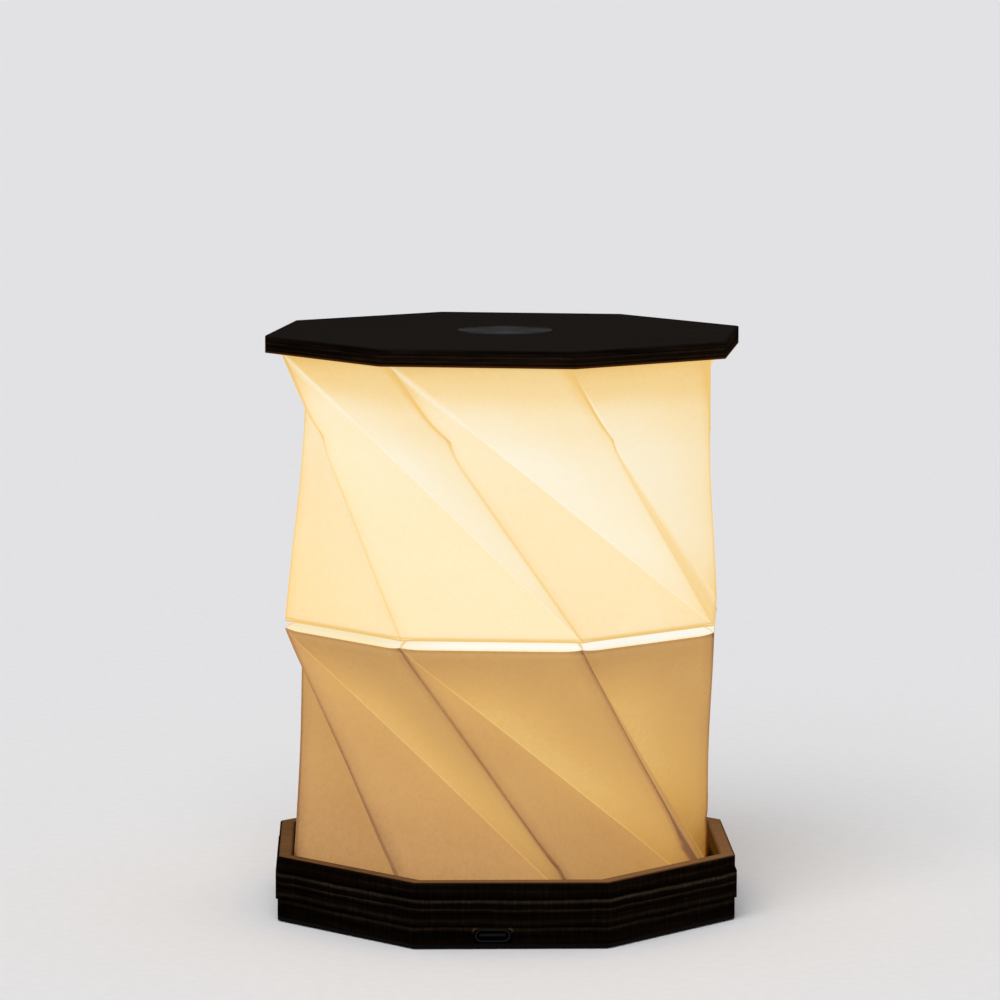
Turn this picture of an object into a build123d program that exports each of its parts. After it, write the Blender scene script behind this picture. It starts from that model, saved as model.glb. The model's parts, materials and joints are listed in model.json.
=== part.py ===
from build123d import *
import os
from math import atan2, cos, degrees, pi, radians, sin

# Twist-fold paper table lamp: an eight-sided tray of stacked plywood, a two-storey folded paper
# shade and a plywood lid that carries the light. Millimetres, +Z up, origin on the table under the
# middle of the base. The charging port faces -Y. The lamp is modelled raised, as it stands in use.

SIDES = 8
SIDE_ANGLE = 360 / SIDES
HALF_SIDE = SIDE_ANGLE / 2

# Base: a stack of eight-sided layers, sizes across flats
BASE_FLATS = 120.0
FOOT_SHOWS = 0.3
PLATE_THICK = 1.05
HOUSING_THICK = 4.75
LOWER_RING_THICK = 3.0
MIDDLE_RING_THICK = 4.0
RIM_RING_THICK = 4.2
RING_PROUD = 0.5
RIM_WALL = 4.0
LOW_WALL = 2.6
HOUSING_WALL = 8.0
CORNER_ROUND = 1.5
EDGE_BREAK = 0.2
FLOOR_THICK = 1.5
FLOOR_PLAY = 0.2

# Feet and screws under the base
FOOT_RADIUS = 4.5
FOOT_THICK = 0.9
FOOT_FROM_CORNER = 18.9
FOOT_PLAY = 0.1
SCREW_FROM_CORNER = 4.6
SCREW_RADIUS = 1.0
SCREW_HEAD_RADIUS = 1.9
SCREW_LENGTH = 4.5
SCREW_PLAY = 0.1
CROSS_LENGTH = 2.0
CROSS_WIDTH = 0.5
CROSS_DEPTH = 0.4

# Charging port, standard size, and the electronics behind it
PORT_X = -4.65
PORT_WIDTH = 8.94
PORT_HEIGHT = 3.16
PORT_DEPTH = 7.35
PORT_WALL = 0.3
PORT_RECESS = 0.8
PORT_Z = 3.4
SLOT_OVERRUN = 1.0
SLOT_PLAY = 0.33
SLOT_DROP = 0.2
SLOT_ROUND = 0.4
TONGUE_WIDTH = 6.69
TONGUE_THICK = 0.7
TONGUE_SHORT = 1.0
TAPE_THICK = 0.5
BOARD_THICK = 0.8
BOARD_WIDTH = 22.0
BOARD_LENGTH = 24.0
BOARD_OVERLAP = 3.0
BOARD_PLAY = 0.2
CHIP_SIZE = 3.0
CHIP_THICK = 0.9
CHIP_PITCH = 5.5
BATTERY_LENGTH = 40.0
BATTERY_WIDTH = 30.0
BATTERY_THICK = 3.6
BATTERY_ROUND = 1.2
BATTERY_FROM_WALL = 9.0
BATTERY_FROM_BOARD = 19.0
TAPE_MARGIN = 1.0
TAB_WIDTH = 3.0
TAB_THICK = 0.15
TAB_SPACING = 8.0
TAB_LAP = 1.0

# Lead from the charging board to the lid
LEAD_RADIUS = 0.8
COIL_RADIUS = 18.5
COIL_TURNS = 5
BEND_RADIUS = 6.0
FOOT_BEND_RADIUS = 1.4
LEAD_RISE = 3.5
SOCKET_WIDTH = 5.0
SOCKET_DEEP = 4.0
SOCKET_HIGH = 2.1
GROMMET_RADIUS = 3.6
GROMMET_FLANGE = 1.0
GROMMET_LIP = 0.6

# Magnets
MAGNET_RADIUS = 1.25
MAGNET_FROM_CORNER = 2.2
MAGNET_BELOW_RIM = 1.2
MAGNET_PLAY = 0.05
LID_MAGNET_LENGTH = 1.6

# Paper shade: an eight-sided tube with slanted creases on each storey
SHADE_PLAY = 0.5
PAPER_THICK = 0.4
PAPER_GAP = 0.05
WAIST_LOW_Z = 76.2
WAIST_HEIGHT = 2.4
WAIST_FOLD_DEPTH = 2.6
WAIST_FLANK_DROP = 0.3
WAIST_FLANGE = 4.5
SHADE_FOOT_TURN = -1.4
MIDDLE_TURN = -5.2
LID_TURN = -8.6
RING_INSET = 4.0
RING_THICK = 1.2
RING_HOLE_RADIUS = 26.0

# Lid, as wide as the base that it closes
LID_Z = 148.65
LID_BOARD_THICK = 3.0
LID_TOP_THICK = 1.5
DISC_RADIUS = 12.6
DISC_PLAY = 0.1
DISC_PROUD = 0.25
DISC_EDGE = 0.2
LIGHT_RADIUS = 22.0
LIGHT_THICK = 1.0
LIGHT_PLAY = 0.15
LIGHT_POCKET_GAP = 0.1
EMITTER_COUNT = 8
EMITTER_CIRCLE_RADIUS = 10.0
EMITTER_WIDTH = 3.5
EMITTER_DEEP = 2.8
EMITTER_THICK = 0.7
LIGHT_SCREW_COUNT = 3
LIGHT_SCREW_CIRCLE_RADIUS = 15.0
LIGHT_SCREW_RADIUS = 1.0
LIGHT_SCREW_HEAD = 1.9
LIGHT_SCREW_LENGTH = 3.0
LIGHT_SCREW_HEAD_THICK = 0.8
CONTACT_RADIUS = 1.2
CONTACT_PLAY = 0.3

# Closed position
CLOSED_GAP = 0.2

# Levels that follow from the sizes above
PLATE_Z = FOOT_SHOWS
HOUSING_Z = PLATE_Z + PLATE_THICK
LOWER_RING_Z = HOUSING_Z + HOUSING_THICK
MIDDLE_RING_Z = LOWER_RING_Z + LOWER_RING_THICK
RIM_RING_Z = MIDDLE_RING_Z + MIDDLE_RING_THICK
RIM_TOP_Z = RIM_RING_Z + RIM_RING_THICK
TRAY_Z = LOWER_RING_Z + FLOOR_THICK
LOW_INNER_FLATS = BASE_FLATS - 2 * LOW_WALL
RIM_INNER_FLATS = BASE_FLATS - 2 * RIM_WALL
HOUSING_INNER_FLATS = BASE_FLATS - 2 * HOUSING_WALL
LID_FLATS = BASE_FLATS
SHADE_FLATS = RIM_INNER_FLATS - 2 * SHADE_PLAY
RING_FLATS = SHADE_FLATS - 2 * RING_INSET
CORNER_RADIUS = BASE_FLATS / 2 / cos(radians(HALF_SIDE))
FOOT_REACH = CORNER_RADIUS - FOOT_FROM_CORNER
SCREW_REACH = CORNER_RADIUS - SCREW_FROM_CORNER
MAGNET_REACH = CORNER_RADIUS - MAGNET_FROM_CORNER
WAIST_TOP_Z = WAIST_LOW_Z + WAIST_HEIGHT
WAIST_FOLD_Z = WAIST_TOP_Z - WAIST_FLANK_DROP
WAIST_INNER_FLATS = SHADE_FLATS - 2 * WAIST_FOLD_DEPTH
LID_TOP_Z = LID_Z + LID_BOARD_THICK
LIGHT_TOP_Z = LID_Z + LIGHT_THICK
MAGNET_LENGTH = RIM_RING_THICK - MAGNET_BELOW_RIM
STOREY_TRAVEL = (LID_Z - RIM_TOP_Z - CLOSED_GAP) / 2


def octagon(across_flats, turn=0.0):
    """Regular octagon with flats on X and Y, then turned about Z."""
    radius = across_flats / 2 / cos(radians(HALF_SIDE))
    return RegularPolygon(radius, SIDES, rotation=HALF_SIDE + turn)


def slab(sketch, z_low, thick):
    """The sketch as a flat plate from z_low upwards."""
    return Pos(0, 0, z_low) * extrude(sketch, thick)


def rounded_corners(solid, radius):
    """Solid with its upright edges rounded."""
    return fillet(solid.edges().filter_by(Axis.Z), radius)


def polar(radius, angle, z=0.0):
    """Point at an angle in degrees about Z."""
    return Vector(radius * cos(radians(angle)), radius * sin(radians(angle)), z)


def disc(radius, thick, place):
    """Upright cylinder whose foot stands at place."""
    return Pos(place) * Cylinder(radius, thick, align=(Align.CENTER, Align.CENTER, Align.MIN))


def corner_angles():
    """Every second corner of the base, where screws and magnets sit."""
    return [HALF_SIDE + SIDE_ANGLE + 2 * SIDE_ANGLE * k for k in range(SIDES // 2)]


# ---------------------------------------------------------------- base layers


def layer(across_flats, inner_flats, z_low, thick):
    """One plywood ring of the base, corners rounded outside."""
    outer = rounded_corners(slab(octagon(across_flats), z_low, thick), CORNER_ROUND)
    return outer - slab(octagon(inner_flats), z_low, thick)


def broken_edge(solid, end):
    """Solid with its top (end -1) or bottom (end 0) edges lightly broken."""
    return chamfer(solid.edges().group_by(Axis.Z)[end], EDGE_BREAK)


def foot_centres(z):
    return [polar(FOOT_REACH, a, z) for a in corner_angles()]


def countersunk(radius, head_radius, z_face, length):
    """Countersunk screw along +Z whose head is flush with z_face, before its cross recess."""
    head_high = head_radius - radius
    head = Pos(0, 0, z_face) * Cone(
        head_radius, radius, head_high, align=(Align.CENTER, Align.CENTER, Align.MIN)
    )
    return head + disc(radius, length, (0, 0, z_face))


def make_bottom_plate():
    plate = rounded_corners(slab(octagon(BASE_FLATS), PLATE_Z, PLATE_THICK), CORNER_ROUND)
    plate = broken_edge(plate, 0)
    pocket_depth = FOOT_THICK - FOOT_SHOWS
    for centre in foot_centres(PLATE_Z):
        plate -= disc(FOOT_RADIUS + FOOT_PLAY, pocket_depth, centre)
    for angle in corner_angles():
        hole = countersunk(
            SCREW_RADIUS + SCREW_PLAY, SCREW_HEAD_RADIUS + SCREW_PLAY, PLATE_Z, PLATE_THICK
        )
        plate -= Pos(polar(SCREW_REACH, angle)) * hole
    return plate


def make_bottom_screws():
    screws = []
    for angle in corner_angles():
        screw = countersunk(SCREW_RADIUS, SCREW_HEAD_RADIUS, PLATE_Z, SCREW_LENGTH)
        for turn in (0, 90):
            slot = Box(CROSS_LENGTH, CROSS_WIDTH, 2 * CROSS_DEPTH)
            screw -= Pos(0, 0, PLATE_Z) * Rot(0, 0, turn) * slot
        screws.append(Pos(polar(SCREW_REACH, angle)) * screw)
    return screws


def make_feet():
    return [disc(FOOT_RADIUS, FOOT_THICK, centre) for centre in foot_centres(0)]


def port_outline(grow):
    """Rounded outline of the port, larger by grow all round."""
    return SlotOverall(PORT_WIDTH + 2 * grow, PORT_HEIGHT + 2 * grow)


def along_port(sketch, y_front, depth):
    """The sketch, drawn across the port, as a bar that runs inwards from y_front."""
    plane = Plane(origin=(PORT_X, y_front, PORT_Z), x_dir=(1, 0, 0), z_dir=(0, 1, 0))
    return extrude(plane * sketch, depth)


def make_housing():
    body = layer(BASE_FLATS, HOUSING_INNER_FLATS, HOUSING_Z, HOUSING_THICK)
    slot_high = PORT_HEIGHT + 2 * SLOT_PLAY
    slot = RectangleRounded(PORT_WIDTH + 2 * SLOT_PLAY, slot_high, SLOT_ROUND)
    slot = Pos(0, SLOT_DROP) * slot
    body -= along_port(slot, -BASE_FLATS / 2 - SLOT_OVERRUN, HOUSING_WALL + 2 * SLOT_OVERRUN)
    recess = Box(BOARD_WIDTH + 2 * BOARD_PLAY, HOUSING_WALL, 2 * HOUSING_THICK)
    body -= Pos(PORT_X, board_front() - BOARD_PLAY + HOUSING_WALL / 2, LOWER_RING_Z) * recess
    for angle in corner_angles():
        body -= disc(SCREW_RADIUS, SCREW_LENGTH, polar(SCREW_REACH, angle, HOUSING_Z))
    return body


def make_lower_ring():
    return layer(BASE_FLATS + 2 * RING_PROUD, LOW_INNER_FLATS, LOWER_RING_Z, LOWER_RING_THICK)


def make_middle_ring():
    return layer(BASE_FLATS + 2 * RING_PROUD, LOW_INNER_FLATS, MIDDLE_RING_Z, MIDDLE_RING_THICK)


def make_rim_ring():
    ring = broken_edge(layer(BASE_FLATS, RIM_INNER_FLATS, RIM_RING_Z, RIM_RING_THICK), -1)
    for angle in corner_angles():
        place = polar(MAGNET_REACH, angle, RIM_RING_Z)
        ring -= disc(MAGNET_RADIUS + MAGNET_PLAY, MAGNET_LENGTH + MAGNET_PLAY, place)
    return ring


def make_rim_magnets():
    feet = [polar(MAGNET_REACH, angle, RIM_RING_Z) for angle in corner_angles()]
    return [disc(MAGNET_RADIUS, MAGNET_LENGTH, foot) for foot in feet]


def lead_top():
    """Underside of the plug below the light board."""
    return LID_Z - SOCKET_HIGH


def coil_height():
    return lead_top() - TRAY_Z - 2 * (LEAD_RISE + BEND_RADIUS)


def coil_slope():
    """Slope of the coil's turns, in radians."""
    return atan2(coil_height() / COIL_TURNS, 2 * pi * COIL_RADIUS)


def lead_shift():
    """How far the lead's upright ends stand to each side of the coil's first point."""
    return BEND_RADIUS * (1 - sin(coil_slope()))


def lead_foot(z):
    """Where the lead comes up through the tray floor."""
    return Vector(-lead_shift(), -COIL_RADIUS, z)


def lead_head(z):
    """Where the lead goes up into its plug below the lid."""
    return Vector(lead_shift(), -COIL_RADIUS, z)


def make_tray_floor():
    floor = slab(octagon(LOW_INNER_FLATS - 2 * FLOOR_PLAY), LOWER_RING_Z, FLOOR_THICK)
    return floor - disc(GROMMET_RADIUS, FLOOR_THICK, lead_foot(LOWER_RING_Z))


def make_grommet():
    ring = disc(GROMMET_RADIUS, FLOOR_THICK, lead_foot(LOWER_RING_Z))
    ring += disc(GROMMET_RADIUS + GROMMET_FLANGE, GROMMET_LIP, lead_foot(TRAY_Z))
    return ring - disc(LEAD_RADIUS, FLOOR_THICK + GROMMET_LIP, lead_foot(LOWER_RING_Z))


# ---------------------------------------------------------------- electronics


def make_port_shell():
    front = -BASE_FLATS / 2 + PORT_RECESS
    shell = along_port(port_outline(0), front, PORT_DEPTH)
    hollow = along_port(port_outline(-PORT_WALL), front, PORT_DEPTH - PORT_WALL)
    return shell - hollow


def make_port_tongue():
    front = -BASE_FLATS / 2 + PORT_RECESS + TONGUE_SHORT
    length = PORT_DEPTH - TONGUE_SHORT - PORT_WALL
    return along_port(Rectangle(TONGUE_WIDTH, TONGUE_THICK), front, length)


def board_front():
    """Front edge of the charging board: under the rear part of the port."""
    return -BASE_FLATS / 2 + PORT_RECESS + PORT_DEPTH - BOARD_OVERLAP


def make_charge_board():
    """Board with a notch that the port shell sits in, and its chips."""
    low = PORT_Z - BOARD_THICK / 2
    middle_y = board_front() + BOARD_LENGTH / 2
    board = Pos(PORT_X, middle_y, PORT_Z) * Box(BOARD_WIDTH, BOARD_LENGTH, BOARD_THICK)
    notch = Box(PORT_WIDTH + 2 * BOARD_PLAY, 2 * (BOARD_OVERLAP + BOARD_PLAY), BOARD_THICK)
    board -= Pos(PORT_X, board_front(), PORT_Z) * notch
    chip_y = middle_y - CHIP_PITCH / 2
    for step in (-1, 0, 1):
        chip = Box(CHIP_SIZE, CHIP_SIZE, CHIP_THICK)
        chip_z = low + BOARD_THICK + CHIP_THICK / 2
        board += Pos(PORT_X + step * CHIP_PITCH, chip_y, chip_z) * chip
    return board


def make_board_tape():
    """Foam tape that carries the charging board on the bottom plate."""
    high = PORT_Z - BOARD_THICK / 2 - HOUSING_Z
    length = BOARD_LENGTH - 2 * BOARD_OVERLAP
    middle_y = board_front() + BOARD_LENGTH / 2
    place = Pos(PORT_X, middle_y + BOARD_OVERLAP, HOUSING_Z + high / 2)
    return place * Box(BOARD_WIDTH - 2 * BOARD_OVERLAP, length, high)


def board_back():
    return board_front() + BOARD_LENGTH


def socket_foot():
    """Middle of the board socket's footprint, in line with the lead."""
    return Vector(lead_foot(0).X, board_back() - SOCKET_DEEP / 2, PORT_Z + BOARD_THICK / 2)


def make_board_socket():
    """Socket on the rear edge of the charging board, its mouth towards +Y."""
    place = socket_foot() + Vector(0, 0, SOCKET_HIGH / 2)
    return Pos(place) * Box(SOCKET_WIDTH, SOCKET_DEEP, SOCKET_HIGH)


def make_lid_plug():
    """Plug under the light board, its mouth towards -Z."""
    place = lead_head(lead_top() + SOCKET_HIGH / 2)
    return Pos(place) * Box(SOCKET_WIDTH, SOCKET_DEEP, SOCKET_HIGH)


def battery_z():
    return HOUSING_Z + TAPE_THICK


def battery_centre():
    """Middle of the cell: near the +X wall, behind the charging board."""
    x = HOUSING_INNER_FLATS / 2 - BATTERY_FROM_WALL - BATTERY_WIDTH / 2
    y = board_back() + BATTERY_FROM_BOARD + BATTERY_LENGTH / 2
    return Vector(x, y, battery_z() + BATTERY_THICK / 2)


def make_battery():
    cell = Pos(battery_centre()) * Box(BATTERY_WIDTH, BATTERY_LENGTH, BATTERY_THICK)
    return fillet(cell.edges().filter_by(Axis.Y), BATTERY_ROUND)


def make_battery_tape():
    width = BATTERY_WIDTH - 2 * BATTERY_ROUND - 2 * TAPE_MARGIN
    pad = Box(width, BATTERY_LENGTH - 2 * TAPE_MARGIN, TAPE_THICK)
    middle = battery_centre()
    return Pos(middle.X, middle.Y, HOUSING_Z + TAPE_THICK / 2) * pad


def make_battery_tabs():
    """Two nickel strips from the cell's end, round a corner and onto the board's edge."""
    strip_z = PORT_Z + BOARD_THICK / 2 + TAB_THICK / 2
    cell = battery_centre()
    cell_end = cell.Y - BATTERY_LENGTH / 2
    board_x = PORT_X + BOARD_WIDTH / 2 - TAB_LAP
    tabs = []
    for side in (0, 1):
        tail_x = cell.X - TAB_SPACING / 2 + side * TAB_SPACING
        strip_y = board_back() - TAB_LAP - TAB_WIDTH / 2 - side * (TAB_WIDTH + TAB_LAP)
        across = tail_x + TAB_WIDTH / 2 - board_x
        reach = cell_end - strip_y + TAB_WIDTH / 2
        strip = Pos(board_x + across / 2, strip_y, strip_z) * Box(across, TAB_WIDTH, TAB_THICK)
        tail = Pos(tail_x, cell_end - reach / 2, strip_z) * Box(TAB_WIDTH, reach, TAB_THICK)
        tabs.append(strip + tail)
    return tabs


def bend(centre, start_angle, end_angle):
    """Arc in an upright plane along X, angles in degrees from +X towards +Z."""
    angles = (start_angle, (start_angle + end_angle) / 2, end_angle)
    turns = [radians(angle) for angle in angles]
    return ThreePointArc(*[centre + Vector(cos(t), 0, sin(t)) * BEND_RADIUS for t in turns])


def lead_path():
    """Lead's line: back from the socket, up through the floor, round the coil, up to the plug."""
    slope = coil_slope()
    across = 90 + degrees(slope)
    socket_z = PORT_Z + BOARD_THICK / 2 + SOCKET_HIGH / 2
    corner = lead_foot(socket_z)
    mouth = Vector(corner.X, board_back(), socket_z)
    rise_end = lead_foot(TRAY_Z + LEAD_RISE)
    inside = FilletPolyline(mouth, corner, rise_end, radius=FOOT_BEND_RADIUS)
    first_bend = bend(rise_end + Vector(BEND_RADIUS, 0, 0), 180, across)
    turns = Helix(coil_height() / COIL_TURNS, coil_height(), COIL_RADIUS)
    turns = Pos(0, 0, (first_bend @ 1).Z) * Rot(0, 0, -90) * turns
    centre = turns @ 1 + Vector(-sin(slope), 0, cos(slope)) * BEND_RADIUS
    last_bend = bend(centre, across - 180, 0)
    tail = Line(last_bend @ 1, lead_head(lead_top()))
    return Wire([*inside.edges(), first_bend.edge(), turns.edge(), last_bend.edge(), tail.edge()])


def make_inner_lead():
    path = lead_path()
    print(f"inner lead: {path.length:.1f} mm long, {2 * LEAD_RADIUS:.1f} mm thick")
    section = Plane(origin=path @ 0, z_dir=path % 0) * Circle(LEAD_RADIUS)
    return sweep(section, path)


# ---------------------------------------------------------------- paper shade


def corner_points(across_flats, z, turn):
    """Corners of an octagon at height z."""
    radius = across_flats / 2 / cos(radians(HALF_SIDE))
    return [polar(radius, HALF_SIDE + SIDE_ANGLE * k + turn, z) for k in range(SIDES)]


def twisted_solid(flats, z_low, z_high, turn_low, turn_high):
    """Solid with slanted triangular facets: ridges one corner on, valleys two corners on."""
    low = corner_points(flats, z_low, turn_low)
    high = corner_points(flats, z_high, turn_high)
    facets = []
    for k in range(SIDES):
        one_on = low[(k + 1) % SIDES]
        two_on = low[(k + 2) % SIDES]
        next_high = high[(k + 1) % SIDES]
        facets.append([high[k], one_on, two_on])
        facets.append([high[k], two_on, next_high])
    facets += [low, high]
    faces = [Face(Wire.make_polygon(points)) for points in facets]
    return Solid(Shell(faces))


def storey(z_low, z_high, turn_low, turn_high):
    """Open paper tube of one storey."""
    outer = twisted_solid(SHADE_FLATS, z_low, z_high, turn_low, turn_high)
    inner_flats = SHADE_FLATS - 2 * PAPER_THICK
    inner = twisted_solid(inner_flats, z_low, z_high, turn_low, turn_high)
    return outer - inner


def make_lower_shade():
    return storey(TRAY_Z, WAIST_LOW_Z - PAPER_GAP, SHADE_FOOT_TURN, MIDDLE_TURN)


def make_upper_shade():
    return storey(WAIST_TOP_Z + PAPER_GAP, LID_Z - PAPER_GAP, MIDDLE_TURN, LID_TURN)


def funnel(low_flats, z_low, high_flats, z_high):
    """Eight-sided funnel between two levels."""
    bottom = Pos(0, 0, z_low) * octagon(low_flats, MIDDLE_TURN)
    top = Pos(0, 0, z_high) * octagon(high_flats, MIDDLE_TURN)
    return loft([bottom, top], ruled=True)


def make_waist_pleat():
    """Sharp inward fold between the storeys, with a flange that the stiffening ring hangs from."""
    inner = WAIST_INNER_FLATS
    trim = 2 * PAPER_THICK
    lower = funnel(SHADE_FLATS, WAIST_LOW_Z, inner, WAIST_FOLD_Z)
    lower -= funnel(SHADE_FLATS - trim, WAIST_LOW_Z, inner - trim, WAIST_FOLD_Z)
    upper = slab(octagon(SHADE_FLATS, MIDDLE_TURN), WAIST_FOLD_Z, WAIST_FLANK_DROP)
    upper -= slab(octagon(inner - 2 * WAIST_FLANGE, MIDDLE_TURN), WAIST_FOLD_Z, WAIST_FLANK_DROP)
    return lower + upper


def make_mid_ring():
    """Stiffening ring glued under the pleat's flange."""
    ring = slab(octagon(RING_FLATS, MIDDLE_TURN), WAIST_FOLD_Z - RING_THICK, RING_THICK)
    return ring - disc(RING_HOLE_RADIUS, RING_THICK, (0, 0, WAIST_FOLD_Z - RING_THICK))


# ---------------------------------------------------------------- lid


def lid_corners():
    return [angle + LID_TURN for angle in corner_angles()]


def light_screw_angles():
    return [90 + LID_TURN + 360 / LIGHT_SCREW_COUNT * k for k in range(LIGHT_SCREW_COUNT)]


def make_lid_board():
    board = slab(octagon(LID_FLATS, LID_TURN), LID_Z, LID_BOARD_THICK)
    board = rounded_corners(board, CORNER_ROUND)
    pocket_deep = LIGHT_THICK + LIGHT_POCKET_GAP
    board -= disc(LIGHT_RADIUS + LIGHT_PLAY, pocket_deep, (0, 0, LID_Z))
    board -= disc(CONTACT_RADIUS + CONTACT_PLAY, LID_BOARD_THICK, (0, 0, LID_Z))
    magnet_deep = LID_MAGNET_LENGTH + MAGNET_PLAY
    for angle in lid_corners():
        place = polar(MAGNET_REACH, angle, LID_TOP_Z - magnet_deep)
        board -= disc(MAGNET_RADIUS + MAGNET_PLAY, magnet_deep, place)
    for angle in light_screw_angles():
        place = polar(LIGHT_SCREW_CIRCLE_RADIUS, angle, LID_Z)
        board -= disc(LIGHT_SCREW_RADIUS, LIGHT_SCREW_LENGTH, place)
    return board


def make_lid_top():
    top = slab(octagon(LID_FLATS, LID_TURN), LID_TOP_Z, LID_TOP_THICK)
    top = broken_edge(rounded_corners(top, CORNER_ROUND), -1)
    return top - disc(DISC_RADIUS + DISC_PLAY, LID_TOP_THICK, (0, 0, LID_TOP_Z))


def make_touch_disc():
    plate = disc(DISC_RADIUS, LID_TOP_THICK + DISC_PROUD, (0, 0, LID_TOP_Z))
    rim = plate.edges().filter_by(GeomType.CIRCLE).group_by(Axis.Z)[-1]
    return chamfer(rim, DISC_EDGE)


def make_touch_contact():
    """Sprung pin that joins the touch disc to the light board."""
    return disc(CONTACT_RADIUS, LID_TOP_Z - LIGHT_TOP_Z, (0, 0, LIGHT_TOP_Z))


def make_light_board():
    board = disc(LIGHT_RADIUS, LIGHT_THICK, (0, 0, LID_Z))
    for angle in light_screw_angles():
        place = polar(LIGHT_SCREW_CIRCLE_RADIUS, angle, LID_Z)
        board -= disc(LIGHT_SCREW_RADIUS + SCREW_PLAY, LIGHT_THICK, place)
    return board


def make_light_screws():
    screws = []
    for angle in light_screw_angles():
        seat = polar(LIGHT_SCREW_CIRCLE_RADIUS, angle, LID_Z)
        head_foot = polar(LIGHT_SCREW_CIRCLE_RADIUS, angle, LID_Z - LIGHT_SCREW_HEAD_THICK)
        head = disc(LIGHT_SCREW_HEAD, LIGHT_SCREW_HEAD_THICK, head_foot)
        shank = disc(LIGHT_SCREW_RADIUS, LIGHT_SCREW_LENGTH, seat)
        screws.append(head + shank)
    return screws


def make_emitters():
    chips = []
    for k in range(EMITTER_COUNT):
        angle = HALF_SIDE + LID_TURN + 360 / EMITTER_COUNT * k
        place = Pos(polar(EMITTER_CIRCLE_RADIUS, angle, LID_Z - EMITTER_THICK / 2)) * Rot(0, 0, angle)
        chips.append(place * Box(EMITTER_DEEP, EMITTER_WIDTH, EMITTER_THICK))
    return chips


def make_lid_magnets():
    foot = LID_TOP_Z - LID_MAGNET_LENGTH
    return [
        disc(MAGNET_RADIUS, LID_MAGNET_LENGTH, polar(MAGNET_REACH, a, foot)) for a in lid_corners()
    ]


NODES = {
    "bottom_plate": make_bottom_plate,
    "bottom_screws": make_bottom_screws,
    "feet": make_feet,
    "base_housing": make_housing,
    "lower_ring": make_lower_ring,
    "middle_ring": make_middle_ring,
    "rim_ring": make_rim_ring,
    "rim_magnets": make_rim_magnets,
    "tray_floor": make_tray_floor,
    "lead_grommet": make_grommet,
    "port_shell": make_port_shell,
    "port_tongue": make_port_tongue,
    "charge_board": make_charge_board,
    "board_tape": make_board_tape,
    "board_socket": make_board_socket,
    "battery": make_battery,
    "battery_tape": make_battery_tape,
    "battery_tabs": make_battery_tabs,
    "inner_lead": make_inner_lead,
    "lower_shade": make_lower_shade,
    "waist_pleat": make_waist_pleat,
    "mid_ring": make_mid_ring,
    "upper_shade": make_upper_shade,
    "lid_board": make_lid_board,
    "lid_top": make_lid_top,
    "touch_disc": make_touch_disc,
    "touch_contact": make_touch_contact,
    "light_board": make_light_board,
    "light_screws": make_light_screws,
    "light_emitters": make_emitters,
    "lid_magnets": make_lid_magnets,
    "lid_plug": make_lid_plug,
}


def main():
    os.makedirs("parts", exist_ok=True)
    for name, make in NODES.items():
        shape = make()
        if isinstance(shape, list):
            shape = Compound(shape)
        export_step(shape, f"parts/{name}.step")
    print(f"each storey travels {STOREY_TRAVEL:.3f} mm")


main()
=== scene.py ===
"""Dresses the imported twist-fold lamp: paper shade, waist pleat, plywood tray, lid and disc."""
import json
import logging
import math
import random
from contextlib import contextmanager
from dataclasses import dataclass, field
from enum import Enum
from typing import Callable, Dict, Iterable, Iterator, List, Sequence, Tuple

import bmesh
import bpy
from mathutils import Euler, Matrix, Vector


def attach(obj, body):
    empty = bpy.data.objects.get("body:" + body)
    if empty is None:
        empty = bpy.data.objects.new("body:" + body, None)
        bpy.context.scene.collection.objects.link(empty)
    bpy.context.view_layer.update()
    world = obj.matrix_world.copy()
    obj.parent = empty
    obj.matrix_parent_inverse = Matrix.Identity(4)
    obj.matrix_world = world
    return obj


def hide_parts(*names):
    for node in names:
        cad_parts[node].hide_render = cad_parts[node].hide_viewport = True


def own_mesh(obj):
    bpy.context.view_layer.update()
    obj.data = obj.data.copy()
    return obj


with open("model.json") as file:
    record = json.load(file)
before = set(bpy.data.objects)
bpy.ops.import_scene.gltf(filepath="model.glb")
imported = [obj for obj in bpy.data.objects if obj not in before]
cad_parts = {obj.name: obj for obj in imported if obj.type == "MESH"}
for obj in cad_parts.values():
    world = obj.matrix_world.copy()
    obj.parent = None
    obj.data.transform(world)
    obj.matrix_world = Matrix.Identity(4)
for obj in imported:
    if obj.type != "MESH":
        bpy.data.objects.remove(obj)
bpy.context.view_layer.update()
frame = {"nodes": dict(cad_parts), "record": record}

Point = Tuple[float, float, float]
Rgba = Tuple[float, float, float, float]
Stops = Tuple[Tuple[float, Rgba], ...]
Socket, Node = bpy.types.NodeSocket, bpy.types.Node
Tree, Piece = bpy.types.NodeTree, bpy.types.Object
log = logging.getLogger("lamp")

# Heights and sizes of the lamp, in metres, and turns of the shade, in degrees.
SIDES = 8
SIDE_ANGLE = math.tau / SIDES
SIDE_TURN = 360.0 / SIDES
SHADE_FLATS = 0.1121
PAPER_THICK = 0.0004
FOOT_Z = 0.0076
LOWER_TOP_Z = 0.07615
WAIST_LOW_Z, WAIST_TOP_Z = 0.0762, 0.0786
UPPER_FOOT_Z, UPPER_TOP_Z = 0.07865, 0.1486
FOOT_TURN, MIDDLE_TURN, LID_TURN = -1.4, -5.2, -8.6
FOLD_SCALE = 0.1  # metres that a fold map's whole width stands for
SAME_PLACE = 1e-4
BLACK: Rgba = (0.0, 0.0, 0.0, 1.0)


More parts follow.
